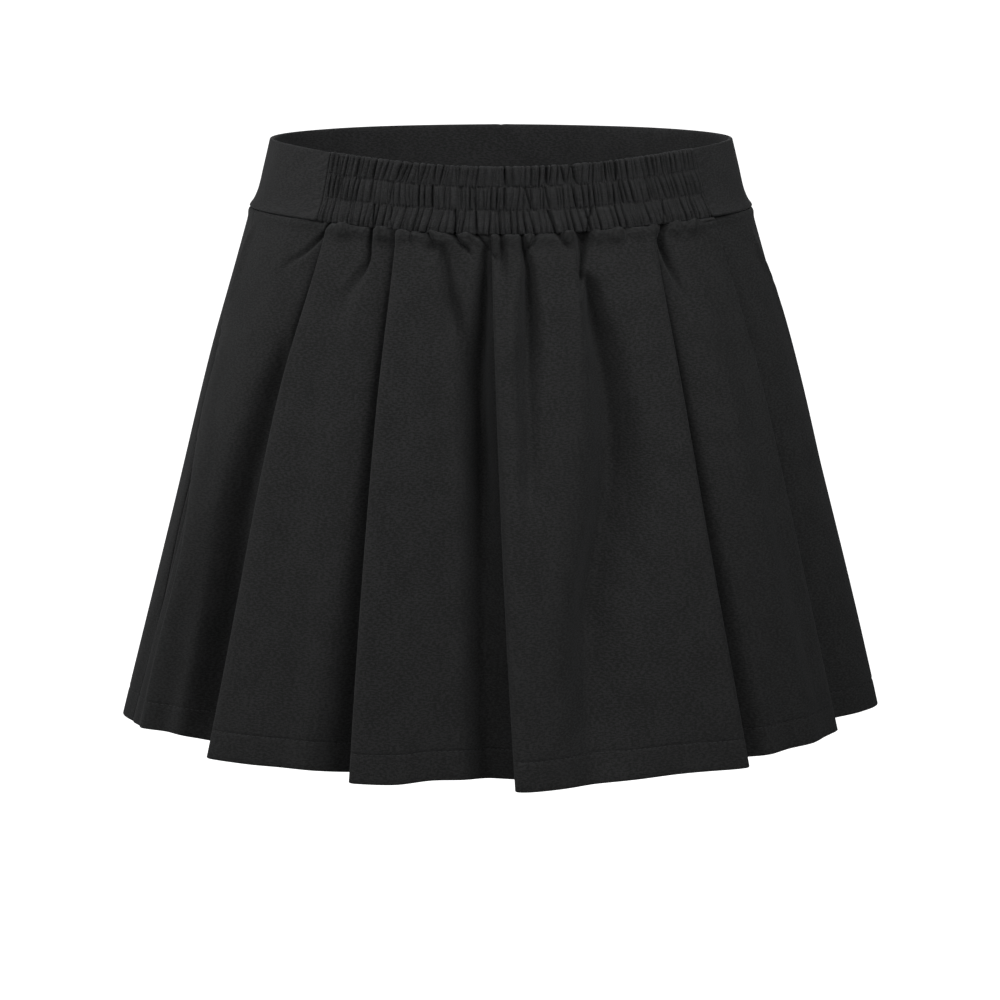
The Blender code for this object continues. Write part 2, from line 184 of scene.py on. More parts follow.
FRONT_CREASES = creases(
    left_drag=(
        (0, -41, 1.3, 1.3, -3.5), (0.03, -44.5, 1.3, 1.6, -3.2), (0.06, -48.2, 1.6, 2.4, -2.4),
        (0.085, -52.2, 3, 3, -1.2), (0.12, -55.5, 4, 4, 0)),
    left_tuck=(
        (0, -29.6, 1.6, 1.3, -6.5), (0.03, -29.6, 1.6, 1.3, -6.5), (0.062, -29.5, 1.9, 1.4, -5),
        (0.096, -31.2, 3.5, 3, -3), (0.13, -33, 6, 5, -1.6), (0.18, -34, 7, 6, 0)),
    first_notch=(
        (0, -20.2, 1, 1, -3), (0.012, -20, 1.1, 1.1, -2.2), (0.03, -20, 1.5, 1.5, 0)),
    slanted_tuck=(
        (0, -17.4, 1.2, 1.2, -4), (0.008, -15.8, 1.3, 1.2, -4), (0.016, -14.9, 1.6, 1.3, -3),
        (0.04, -15, 2.5, 2.5, -1), (0.06, -15, 2.5, 2.5, 0)),
    left_valley=(
        (0.015, -12.8, 2.5, 2.5, 0), (0.045, -12.3, 4, 4, -4), (0.1, -11.4, 4.5, 4.5, -6),
        (0.155, -10.2, 6, 7, -7.5), (0.21, -8.4, 7, 7, -7), (0.265, -6.4, 7, 7, -5),
        (0.32, -5.4, 7, 6, 0)),
    second_tuck=(
        (0, -10.6, 1.6, 1.5, -6), (0.014, -9.1, 1.4, 1.3, -5), (0.028, -7.6, 1.2, 1.2, -3.2),
        (0.045, -6.5, 2, 2, 0)),
    third_tuck=(
        (0, -5.7, 1.1, 1.1, -3.5), (0.02, -3.4, 1, 1, -2.8), (0.048, -0.7, 1, 1, -2.2),
        (0.07, 0, 1.5, 1.5, 0)),
    centre_tuck=(
        (0, 0, 1.7, 1.7, -8), (0.05, 0.5, 1.5, 1.5, -7), (0.088, 0.6, 1, 1, -4),
        (0.12, 0.6, 1, 1, 0)),
    fourth_tuck=(
        (0, 4.5, 1.5, 1.3, -5.5), (0.03, 4.9, 1.8, 1.6, -6), (0.064, 5.6, 2.6, 2.6, -7.5),
        (0.1, 5.5, 3.5, 3.5, -9.5), (0.155, 5.5, 4.5, 5, -10.5), (0.21, 5.2, 5.5, 6, -10.5),
        (0.265, 4.9, 6, 6, -9), (0.338, 5, 5.5, 5, -7), (0.411, 4.8, 5, 5, -5.5),
        (0.56, 4.4, 5, 5, 0)),
    fifth_tuck=(
        (0, 7.7, 1.1, 1.1, -3.5), (0.019, 6.5, 1.1, 1.1, -3), (0.034, 5.3, 1.1, 1.1, -2),
        (0.05, 5.2, 1.1, 1.1, 0)),
    sixth_tuck=(
        (0, 12.2, 1.3, 1.3, -4.5), (0.015, 13.5, 1.1, 1.1, -2.8), (0.032, 14.2, 1.5, 1.5, 0)),
    deep_tuck=(
        (0, 18.4, 4.6, 4.4, -9), (0.02, 18, 3.8, 3.4, -9), (0.045, 17.5, 2.4, 2.4, -7.5),
        (0.09, 16.8, 1.2, 1.5, -4), (0.12, 16.8, 1.2, 1.5, 0)),
    right_valley=(
        (0.07, 17.8, 3, 3, 0), (0.105, 18.6, 3, 5, -7), (0.161, 19.4, 6, 6, -12),
        (0.217, 20.1, 7, 9, -13), (0.272, 21, 11, 9, -14.5), (0.345, 21.5, 13, 10, -16.5),
        (0.418, 21.4, 15, 11, -18), (0.49, 20, 15, 13, -19), (0.562, 17.9, 13, 15, -19),
        (0.634, 15.8, 12, 17, -19), (0.707, 14.2, 12, 18, -18), (0.78, 13.5, 12, 19, -16),
        (0.854, 13.3, 13, 20, -14), (0.928, 13.2, 14, 20, -11), (1, 13, 14, 20, -8)),
    second_notch=(
        (0, 28.3, 1.3, 1.3, -2.8), (0.022, 28.6, 1.6, 1.6, 0)),
    third_notch=(
        (0, 33.6, 2, 1.1, -3), (0.022, 33.6, 1.2, 1.2, 0)),
    right_tuck=(
        (0, 39, 1.6, 1.5, -6.5), (0.031, 37.7, 1.2, 1.6, -6), (0.069, 38.4, 1.3, 1.9, -5),
        (0.107, 39.6, 1.6, 2.6, -3), (0.15, 41.5, 3, 5, -1.3), (0.22, 43, 5, 6, 0)),
    right_join=(
        (0, 50, 1.1, 1.1, -1.8), (0.007, 53, 1, 1, -1.6), (0.016, 54.8, 1.1, 1.1, -1),
        (0.03, 56, 2, 2, 0)),
    middle_valley=(
        (0.02, -3.2, 2, 2, 0), (0.045, -3.2, 3, 2.5, -4), (0.1, -3.4, 5, 4, -7),
        (0.155, -3.7, 6, 4.5, -9), (0.21, -3.9, 7.5, 5, -11.5), (0.265, -4.1, 9, 6, -13.5),
        (0.338, -4, 10, 7, -15.5), (0.411, -3.6, 11, 8, -17), (0.484, -3.3, 11, 9, -16),
        (0.557, -3.3, 12, 11, -13), (0.63, -3.2, 13, 12, -11), (0.776, -2.7, 14, 13, -9),
        (1, -1.7, 14, 13, -6.5)),
    middle_ridge=(
        (0.035, -2.6, 2, 2, 0), (0.06, -2.5, 2, 2.2, 1.6), (0.119, -1.8, 2, 2.6, 2),
        (0.229, -1.9, 2.2, 3, 1.6), (0.351, -1.8, 2.4, 3.2, 1), (0.45, -1.5, 3, 3.5, 0)),
    second_ridge=(
        (0.09, 2, 2.5, 2.5, 0), (0.12, 2.1, 3, 3, 1), (0.19, 2.2, 3, 3, 1.2),
        (0.265, 2.4, 3.2, 3.2, 0.8), (0.35, 2.5, 3.5, 3.5, 0)),
    side_valley=(
        (0.2, -49.5, 5, 5, 0), (0.27, -50, 6, 6, -5), (0.336, -51.5, 8, 9, -8),
        (0.451, -54.5, 9, 14, -11), (0.567, -57, 8, 18, -14), (0.68, -57, 7, 20, -16),
        (0.794, -57, 7, 20, -17), (0.911, -57.5, 8, 20, -15), (1, -58, 10, 20, -9)),
    right_ridge=(
        (0.02, 74, 3, 3, 0), (0.06, 75.5, 3, 4, 1.5), (0.16, 83, 4, 5, 2), (0.3, 86, 5, 6, 1.5),
        (0.5, 88, 6, 7, 0)))
# These cross the left side seam, and so lie on both halves
SIDE_CREASES = creases(
    side_ridge=(
        (0.02, -74, 1.8, 3, 0), (0.06, -75.5, 2, 4, 2.5), (0.17, -75.5, 2.4, 5, 4),
        (0.26, -71, 2.8, 5, 5), (0.36, -71, 3, 6, 5.5), (0.47, -69.5, 3.2, 8, 5.5),
        (0.61, -67, 3.4, 10, 5.5), (0.7, -67, 3.4, 12, 5.5), (0.83, -68.5, 3.6, 13, 4.5),
        (1, -69.5, 4, 12, 3)),
    strip_dip=(
        (0.15, -82, 3, 3, 0), (0.26, -78, 4, 3, -2), (0.36, -76, 4, 3, -2.8),
        (0.59, -73.5, 5, 3, -3.2), (0.83, -75.5, 6, 4, -2.6), (1, -75.5, 6, 4, -1.2)))
BACK_CREASES = creases(
    right_drag=(
        (0, 119, 1.5, 1.5, -1.6), (0.05, 116.5, 2.5, 2, -1.6), (0.12, 113, 4, 4, 0)),
    right_valley=(
        (0.2, 134, 5, 5, 0), (0.4, 134, 9, 7, -2.2), (0.7, 133, 11, 8, -3.2),
        (1, 132.5, 12, 9, -2.6)),
    right_middle_valley=(
        (0.12, 158, 5, 4, 0), (0.35, 158.5, 8, 6, -2.8), (0.65, 158, 10, 8, -3),
        (1, 157.5, 11, 9, -2)),
    centre_tuck=(
        (0, 188, 1.5, 1.5, -2), (0.06, 188.5, 2.5, 2.5, -1.6), (0.2, 189.5, 6, 6, -1.8),
        (0.45, 191, 11, 10, -2.4), (0.8, 191.5, 14, 13, 0)),
    centre_ridge=(
        (0.1, 198, 4, 4, 0), (0.3, 199, 6, 6, 1.6), (0.6, 200, 8, 8, 1.4), (0.95, 201, 9, 9, 0)),
    left_middle_valley=(
        (0.15, 225, 5, 5, 0), (0.4, 224.5, 7, 9, -2.6), (0.7, 225.5, 8, 10, -3),
        (1, 226, 9, 11, -2.2)),
    left_drag=(
        (0, 240.5, 1.4, 1.6, -1.8), (0.05, 243, 2, 2.6, -1.6), (0.13, 247, 4, 4, 0)),
    left_valley=(
        (0.25, 268, 5, 6, 0), (0.5, 268.5, 7, 9, -2.2), (1, 270, 9, 11, -2.8)))
# Deep creases between the gathers of the waistband: the channel from the top, the bearings where
# each starts and ends, and how deep it lies
Fold = namedtuple("Fold", "channel top bottom depth")
BAND_FOLDS = table(
    Fold,
    (0, -36, -36.3, 1.5), (0, -31, -31.6, 1.4), (0, -19.7, -19.7, 1.6), (0, -15.6, -15.7, 1.6),
    (0, -10.8, -10.5, 1.3), (0, 0.8, 1.2, 1.6), (0, 2.3, 2.3, 1.3), (0, 10.6, 10.6, 2.6),
    (0, 14.2, 15.1, 2.1), (0, 17, 17.7, 2.5), (0, 24.1, 24, 1.4), (0, 28.3, 27.9, 2.6),
    (0, 38.5, 38.8, 1.5), (1, -40, -41, 1.4), (1, -26, -26.4, 1.4), (1, -19.4, -19.1, 1.6),
    (1, -16.2, -15.9, 2.8), (1, -9.4, -9.2, 1.8), (1, -6.5, -5.8, 1.8), (1, 1, 0.9, 1.6),
    (1, 5.5, 6.8, 2.3), (1, 10.2, 10.9, 2.3), (1, 16.4, 17.3, 1.8), (1, 28.4, 29.1, 1.7),
    (1, 36, 37.4, 1.5), (2, -30.2, -29.5, 2.8), (2, -25.8, -24.9, 1.6), (2, -10.5, -10.2, 3.2),
    (2, -5.8, -5.2, 2.4), (2, -0.6, -0.3, 2.4), (2, 6.2, 7.2, 2.2), (2, 10.5, 11.9, 3),
    (2, 21, 19.1, 2.6), (2, 40.1, 38.7, 2.4))


# Numbers along a table, and smooth lines

def slope(rows, index, column):
    """The steepness of a column at one row, from the rows on either side."""
    before = rows[max(index - 1, 0)]
    after = rows[min(index + 1, len(rows) - 1)]
    return (after[column] - before[column]) / (after[0] - before[0])


def curve(t, start, leave, end, arrive):
    """A smooth curve's place at t, from its ends and how steeply it leaves and arrives."""
    return ((2 * t**3 - 3 * t**2 + 1) * start + (t**3 - 2 * t**2 + t) * leave
            + (3 * t**2 - 2 * t**3) * end + (t**3 - t**2) * arrive)


def along(rows, at):
    """A table's row at any value of its first column, on smooth curves through its rows."""
    index = 0
    while index < len(rows) - 2 and at > rows[index + 1][0]:
        index += 1
    low, high = rows[index], rows[index + 1]
    span = high[0] - low[0]
    values = [curve((at - low[0]) / span, low[column], slope(rows, index, column) * span,
                    high[column], slope(rows, index + 1, column) * span)
              for column in range(1, len(low))]
    return type(low)(at, *values)


def mix(start, end, share):
    return start + (end - start) * share


def bell(distance, width):
    """1 in the middle, falling smoothly to 0 a few widths away."""
    return math.exp(-(distance / width) ** 2)


def smooth_line(stations):
    """Points on a centripetal curve through (point, steps to the next point) stations."""
    points = [point for point, steps in stations]
    points.insert(0, 2 * points[0] - points[1])
    points.append(2 * points[-1] - points[-2])
    line = [points[1]]
    for index, (point, steps) in enumerate(stations[:-1]):
        before, start, end, after = points[index:index + 4]
        gap_before = math.sqrt((start - before).length)
        gap = math.sqrt((end - start).length)
        gap_after = math.sqrt((after - end).length)
        leave = ((start - before) / gap_before - (end - before) / (gap_before + gap)
                 + (end - start) / gap) * gap
        arrive = ((end - start) / gap - (after - start) / (gap + gap_after)
                  + (after - end) / gap_after) * gap
        line += [curve(step / steps, start, leave, end, arrive)
                 for step in range(1, steps + 1)]
    return line


def stretch_steps(stretches):
    """Every value along a table of stretches."""
    return [stretches[0].start] + [mix(start, end, step / steps) for start, end, steps in stretches
                                   for step in range(1, steps + 1)]


# The level curves that the band and the skirt follow

def ring_run(ring, bearing):
    """The way along a ring at a bearing, in millimetres for each radian."""
    sine, cosine = math.sin(math.radians(bearing)), math.cos(math.radians(bearing))
    depth = ring.front if cosine > 0 else ring.back
    fullness = max(abs(cosine), 1e-6) ** (ring.flatness - 1)
    return ring.half_width * cosine, depth * ring.flatness * fullness * sine


def way_out(ring, bearing):
    """The level direction straight out of a ring."""
    run_x, run_y = ring_run(ring, bearing)
    return Vector((run_y, -run_x, 0.0)).normalized()


def ring_point(ring, bearing, out, height):
    """A point of a ring, moved out of the curve by a distance in millimetres."""
    sine, cosine = math.sin(math.radians(bearing)), math.cos(math.radians(bearing))
    depth = ring.front if cosine > 0 else ring.back
    y = -math.copysign(depth * abs(cosine) ** ring.flatness, cosine)
    return Vector((ring.half_width * sine, y, height)) + way_out(ring, bearing) * out


def ring_bearing(ring, point, near):
    """The bearing of a point beside a ring, within half a turn of another bearing."""
    depth = ring.front if point.y < 0 else ring.back
    cosine = math.copysign((abs(point.y) / depth) ** (1 / ring.flatness), -point.y)
    bearing = math.degrees(math.atan2(point.x / ring.half_width, cosine))
    return bearing + 360 * round((near - bearing) / 360)


def half_gap(ring, bearing):
    """Half the gap of a sewn seam as an angle along a ring, in degrees."""
    return math.degrees(SEWN_GAP / 2 / math.hypot(*ring_run(ring, bearing)))


def degree_length(ring, bearing):
    return math.hypot(*ring_run(ring, bearing)) * math.pi / 180


def front_share(bearing):
    """1 at the middle of the front, falling to 0 at the sides and all round the back."""
    return max(math.cos(math.radians(bearing)), 0.0)


def rim_height(bearing):
    return BAND_HEIGHT / 2 - RIM_DIP * front_share(bearing) ** 3


def seam_height(bearing):
    return -BAND_HEIGHT / 2 - SEAM_DIP * front_share(bearing) ** 4


# Sheets of cloth

def placed(name, data):
    """A new object in the scene."""
    thing = bpy.data.objects.new(name, data)
    bpy.context.collection.objects.link(thing)
    return thing


Knot = namedtuple("Knot", "point across down wear")


def finished(name, mesh):
    """The object of a finished mesh."""
    data = bpy.data.meshes.new(name)
    mesh.to_mesh(data)
    mesh.free()
    data.shade_smooth()
    return placed(name, data)


def cloth_sheet(name, rows, closed=False):
    """A sheet through rows of knots from the bottom up, each from left to right seen from outside.

    Its UV map, grain, is the way across and down the cloth in metres. A closed sheet's first and
    last rows are one, and so are its knots that lie in one place.
    """
    columns = len(rows[0])
    mesh = bmesh.new()
    bmesh.ops.create_grid(mesh, x_segments=columns - 1, y_segments=len(rows) - 1, size=1.0)
    # The wear of pressed edges and hem folds, and the painted highlight on the side seam's ridge.
    wear = mesh.verts.layers.float.new("wear")
    knots = [knot for row in rows for knot in row]
    for vertex, knot in zip(mesh.verts, knots):
        vertex.co = knot.point * MM
        vertex[wear] = knot.wear
    grain = mesh.loops.layers.uv.new("grain")
    for face in mesh.faces:
        for loop in face.loops:
            knot = knots[loop.vert.index]
            loop[grain].uv = (knot.across * MM, knot.down * MM)
    if closed:
        bmesh.ops.remove_doubles(mesh, verts=mesh.verts, dist=0.02 * MM)
    return finished(name, mesh)


def thicken(piece):
    """Gives a sheet its thickness, half to either side."""
    solid = piece.modifiers.new("thickness", "SOLIDIFY")
    solid.thickness = CLOTH * MM
    solid.offset = 0.0


def measure(line, start=0):
    """The way along a line of points, counted from one of them."""
    ways = [0.0]
    for before, after in zip(line, line[1:]):
        ways.append(ways[-1] + (after - before).length)
    return [way - ways[start] for way in ways]


# Stitches

def run_of_stitches(mesh, path, lift, length, gap):
    """Threads along a path of (point, way out) knots, each a slim spindle lying on the cloth."""
    ways = measure([point for point, out in path])
    at = gap
    index = 0
    while at + length < ways[-1]:
        ends = []
        for way in (at, at + length):
            while index < len(ways) - 2 and ways[index + 1] < way:
                index += 1
            share = (way - ways[index]) / max(ways[index + 1] - ways[index], 1e-6)
            point = path[index][0].lerp(path[index + 1][0], share)
            ends.append(point + path[index][1] * lift)
        run = (ends[1] - ends[0]).normalized()
        out = (path[index][1] - run * run.dot(path[index][1])).normalized()
        turn = Matrix((out, run.cross(out), run)).transposed().to_4x4()
        size = Matrix.Diagonal((THREAD, THREAD * 1.3, length / 2, 1.0))
        place = Matrix.Translation((ends[0] + ends[1]) / 2) @ turn @ size
        bmesh.ops.create_uvsphere(mesh, u_segments=6, v_segments=5, radius=1.0,
                                  matrix=Matrix.Scale(MM, 4) @ place)
        at += length + gap


def thread_piece(name, paths, lift, length=STITCH, gap=STITCH_GAP):
    mesh = bmesh.new()
    for path in paths:
        run_of_stitches(mesh, path, lift, length, gap)
    return finished(name, mesh)


def turned_up(layer, turns):
    """The rows of a hem's inner layer, from its raw edge, and of the fold below it.

    "layer" has each level line from the stitches down, with its ways across and its way down.
    "turns" has the fold's angles and how worn the cloth is there.
    """
    rows = [[Knot(point - out * HEM_LAYER, across, down, 0.0)
             for (point, out), across in zip(outward_path(line), ways)]
            for line, ways, down in layer[:-1]]
    line, ways, down = layer[-1]
    for turn, wear in turns:
        angle = math.radians(turn)
        inward = HEM_LAYER / 2 * (1 + math.cos(angle))
        fall = Vector((0.0, 0.0, HEM_LAYER / 2 * math.sin(angle)))
        rows.append([Knot(point - out * inward - fall, across, down, wear)
                     for (point, out), across in zip(outward_path(line), ways)])
    return rows


def outward_path(points):
    """A level line of points with the way out at each."""
    path = []
    for index, point in enumerate(points):
        run = points[min(index + 1, len(points) - 1)] - points[max(index - 1, 0)]
        path.append((point, Vector((run.y, -run.x, 0.0)).normalized()))
    return path


# Waistband

RIM_STEPS = 6              # round the folded rim, from the outer face to the inner
BOTTOM_STEPS = 4           # round the lower edge
CHANNEL_STEPS = 17
INNER_STEPS = 12
GATHER_STEPS = 12
GATHER_HEIGHT = 1.7
INNER_GATHER = 0.35        # the inside is gathered less
CREASE_WIDTH = 0.5
PUCKER = 0.4
GROOVE = 0.9               # how far a line of stitching pulls the cloth in
GROOVE_STITCH = 1.5        # from one stitch to the next
SEAM_PULL = 0.9            # how far the waist seam pulls in the gathered front
SEAM_FLARE = 0.9           # and how far its layers push out the plain sides
JOIN_ROUND = 0.9           # the end of a piece of the band is rounded over this length


def uneven(number, seed):
    """A number from 0 to 1 that looks like chance and is the same each time."""
    return math.sin(12.9898 * number + 78.233 * seed + 0.5) * 43758.5453 % 1.0


def gather_lines():
    """Where the creases between gathers cross the rim, the lines of stitching and the seam."""
    lines = []
    for crossing in range(len(CHANNELS)):
        widths = [1 + 0.24 * math.sin(1.7 * i + 0.8 * crossing)
                  + 0.3 * (uneven(i, crossing) - 0.5) for i in range(GATHERS)]
        edges = [0.0]
        for width in widths:
            edges.append(edges[-1] + width / sum(widths))
        lines.append(edges)
    return lines


GATHER_LINES = gather_lines()


def channel_place(down):
    """The channel at a height on the band, and the share of the way down it."""
    channel = min(bisect_right(CHANNELS, down) - 1, len(CHANNELS) - 2)
    top, bottom = CHANNELS[channel], CHANNELS[channel + 1]
    return channel, (down - top) / (bottom - top)


def front_span(down):
    """The bearings where the gathered front starts and ends, at one height on the band."""
    start = mix(*LEFT_JOIN, down)
    end = mix(*RIGHT_JOIN, down)
    gap = half_gap(along(BAND_RINGS, down), start)
    return start + gap, end - gap


def gather_row(down, span, shares):
    """How far the gathered cloth stands out along one height of the band."""
    channel, place = channel_place(down)
    spread = {0: 0.5 + place / 2, len(CHANNELS) - 2: place * 0.6}.get(channel, place)
    puff = math.sin(math.pi * spread)
    edges = [mix(high, low, place) for high, low in zip(GATHER_LINES[channel],
                                                        GATHER_LINES[channel + 1])]
    length = math.radians(span[1] - span[0]) * (BAND_RINGS[0].half_width
                                                + BAND_RINGS[0].front) / 2
    to_line = min(abs(down - line) for line in CHANNELS[1:3]) * BAND_HEIGHT
    folds = [(mix(fold.top, fold.bottom, place), fold.depth) for fold in BAND_FOLDS
             if fold.channel == channel]
    reliefs = []
    for share in shares:
        gather = min(bisect_right(edges, share) - 1, GATHERS - 1)
        width = edges[gather + 1] - edges[gather]
        t = (share - edges[gather]) / width
        height = GATHER_HEIGHT * (0.3 + 0.9 * uneven(gather, channel))
        lean = 0.35 + 0.3 * uneven(gather, channel + 3)
        arch = t / lean if t < lean else (1 - t) / (1 - lean)
        relief = height * (arch - 0.35 * arch**3) * (0.5 + 0.5 * puff ** 0.5)
        for edge, line in ((gather, t), (gather + 1, 1 - t)):
            depth = 0.5 + 2.2 * uneven(edge, channel + 7) ** 1.6
            relief -= depth * bell(line * width * length, CREASE_WIDTH) * puff ** 0.4
        bearing = mix(*span, share)
        for fold, depth in folds:
            away = (bearing - fold) * 2.5
            if abs(away) < 2.5:
                relief -= 1.3 * depth * bell(away, CREASE_WIDTH * 1.4) * puff ** 0.3
        sub_line = 0.35 + 0.3 * uneven(gather, channel + 11) + 0.5 * (place - 0.5) * (
            uneven(gather, channel + 13) - 0.5)
        sub_depth = 1.6 * uneven(gather, channel + 17) ** 2
        relief -= sub_depth * bell((t - sub_line) * width * length, 0.35) * puff ** 0.5
        relief += CHANNEL_PUFF * puff ** 0.8
        stitch = 0.6 + 0.4 * math.cos(2 * math.pi * share * length / GROOVE_STITCH)
        relief -= GROOVE * bell(to_line, 0.5) * stitch
        relief += PUCKER * math.cos(4 * math.pi * share * GATHERS) * bell(to_line, 1.3)
        reliefs.append(max(relief, -2.6))
    return reliefs


def band_section(columns, relief_at, gathered):
    """Rows of the band's folded section, from the outer face's foot over the rim to the inner's.

    "columns" has the bearing and the share of the full thickness at each column for a height.
    """
    half = BAND_WALL / 2
    outer_downs = []
    for top, bottom in zip(CHANNELS, CHANNELS[1:]):
        outer_downs += [mix(top, bottom, step / CHANNEL_STEPS) for step in range(CHANNEL_STEPS)]
    outer_downs.append(CHANNELS[-1])
    rows = [(1.0, 90.0 * step / BOTTOM_STEPS, -1) for step in range(BOTTOM_STEPS, 0, -1)]
    rows += [(down, 0.0, 0) for down in reversed(outer_downs)]
    rows += [(0.0, 180.0 * step / RIM_STEPS, 1) for step in range(1, RIM_STEPS)]
    rows += [(step / INNER_STEPS, 180.0, 0) for step in range(INNER_STEPS + 1)]
    rows += [(1.0, 180.0 - 90.0 * step / BOTTOM_STEPS, -1)
             for step in range(1, BOTTOM_STEPS + 1)]
    sheet = []
    way_down = 0.0
    before = None
    for down, turn, round_end in rows:
        ring = along(BAND_RINGS, down)
        places = columns(down)
        line = []
        angle = math.radians(turn)
        for (bearing, share, fullness), relief in zip(places, relief_at(down, places)):
            top, bottom = rim_height(bearing), seam_height(bearing)
            height = mix(top - half, bottom + half, down)
            outer_part = max(math.cos(angle), -INNER_GATHER)
            near_seam = bell((1 - down) * BAND_HEIGHT, 2.5)
            pull = near_seam * (SEAM_PULL if gathered else -SEAM_FLARE)
            if turn == 180.0:
                out = -(half + abs(relief) * INNER_GATHER)
                rise = 0.0
            else:
                out = math.cos(angle) * half + (relief if angle < math.pi / 2
                                                else abs(relief)) * outer_part
                rise = round_end * math.sin(angle) * (half + 0.3 * relief)
            out = (out - pull * max(math.cos(angle), 0.0)) * fullness
            line.append(ring_point(ring, bearing, out, height + rise))
        middle = line[len(line) // 2]
        if before is not None:
            way_down += (middle - before).length
        before = middle
        sheet.append([Knot(point, way, way_down, 0.0)
                      for point, way in zip(line, measure(line))])
    sheet.append([Knot(knot.point, knot.across, way_down + 0.1, 0.0) for knot in sheet[0]])
    return sheet


def end_fullness(way, length):
    """The share of the band's thickness near its ends, where it is turned in and sewn."""
    near = min(way, length - way)
    if near >= JOIN_ROUND:
        return 1.0
    return math.sqrt(max(1 - (1 - near / JOIN_ROUND) ** 2, 0.0))


def gathered_columns(down):
    """The gathered front's columns at one height: closer together at its ends."""
    start, end = front_span(down)
    ring = along(BAND_RINGS, down)
    degree = degree_length(ring, start)
    length = (end - start) * degree
    count = GATHERS * GATHER_STEPS
    places = []
    for index in range(count + 1):
        share = index / count
        near = min(index, count - index)
        if near < 6:
            share = math.copysign(1, 0.5 - share) * (near / 6) ** 2 * 6 / count + round(share)
        places.append((mix(start, end, share), share, end_fullness(share * length, length)))
    return places


def gathered_relief(down, places):
    """The gathers' relief, easing to the plain band's at either end."""
    shares = [share for bearing, share, fullness in places]
    reliefs = gather_row(down, front_span(down), shares)
    ends = [min(share, 1 - share) * GATHERS for share in shares]
    return [relief * min(max(end, 0.05) / 0.8, 1.0) for relief, end in zip(reliefs, ends)]


PLAIN_STRETCHES = table(
    Stretch,
    (0, 0.012, 12), (0.012, 0.05, 14), (0.05, 0.474, 110), (0.474, 0.486, 12), (0.486, 0.95, 120),
    (0.95, 0.988, 14), (0.988, 1, 12))
PLAIN_LENGTH = 620.0
BACK_SEAM = 180.0


def plain_columns(down):
    """The plain band's columns: closer together at its ends and at the centre back seam."""
    start, end = front_span(down)
    ring = along(BAND_RINGS, down)
    gap = half_gap(ring, start)
    first, last = end + gap, start + 360 - gap
    length = math.radians(last - first) * (ring.half_width + ring.front) / 2
    return [(mix(first, last, share), share, end_fullness(share * length, length))
            for share in stretch_steps(PLAIN_STRETCHES)]


def plain_relief(down, places):
    """The plain band is nearly flat, with a soft pull at its ends and a seam at centre back."""
    reliefs = []
    for bearing, share, fullness in places:
        to_join = min(share, 1 - share) * PLAIN_LENGTH
        to_back = (bearing - BACK_SEAM) * 1.7
        relief = 0.25 * math.sin(bearing / 9 + 3 * down) * math.sin(bearing / 23 + 1)
        relief += 0.35 * math.exp(-to_join / 7) * math.sin(2 * math.pi * down * 7 + bearing)
        relief -= 0.8 * bell(to_back, 0.8) + 0.3 * bell(down - 0.5, 0.6) * bell(to_join, 30)
        relief += 0.25 * bell(to_back - 2.5, 1.5) + 0.25 * bell(to_back + 2.5, 1.5)
        reliefs.append(relief * min(to_join / 3, 1.0))
    return reliefs


# Skirt

Half = namedtuple("Half", "name pleats panels creases left_seam right_seam")
FRONT = Half("front", FRONT_PLEATS, FRONT_PANELS, FRONT_CREASES | SIDE_CREASES,
             LEFT_SEAM, RIGHT_SEAM)
BACK = Half("back", BACK_PLEATS, BACK_PANELS, BACK_CREASES | {
    name: tuple(crease._replace(bearing=crease.bearing + 360) for crease in rows)
    for name, rows in SIDE_CREASES.items()}, RIGHT_SEAM, LEFT_SEAM + 360)
GATHER_TUCK = 0.9          # degrees to either side of a tuck where the seam dips
CREST_POWER = 1.15
CRISP_TURN = 2.6           # how thick a pressed fold is
SLOT_TOP = 2.0             # the cloth beside a pleat's edge sinks over this width at the waist
SLOT_POWER = 1.3
RECESS_POWER = 0.8
RECESS_FALL = 0.2          # the hem hangs this much lower for each millimetre deeper
WAIST_BUMP = 0.9           # the seam's layers push the cloth out below it
PUFF_OUT = 2.2             # and so do the gathers
PUFF_LIFT = 3.4
SEAM_CALM = 15.0           # the cloth sways less this near a seam
PANELS_APART = 400.0       # from one panel's grain to the next one's
SIDE_RIDGE_HIGHLIGHT = 6.0           # how strongly the side seam's ridge is painted lighter: a painted highlight where it catches the light
HIGHLIGHT_WIDTH = 8.0
HIGHLIGHT_MIDDLE = 0.33       # of the way down
HIGHLIGHT_REACH = 0.22


def pleat_edge(pleat, down):
    """The bearing of a pleat's edge on the way down."""
    rows = (Edge(0.0, pleat.waist), Edge(HIP, pleat.hip), Edge(1.0, pleat.hem))
    return along(rows, down).bearing


def opening(down):
    return down ** OPENING_POWER


def fold_levels(pleat, down):
    """How far out a pleat's outer layer and its innermost layer lie."""
    outer = mix(LAYER_IN + 2 * LAYER_PITCH, pleat.crest, down ** CREST_POWER)
    inner = mix(LAYER_IN, pleat.tuck, opening(down))
    return outer, inner


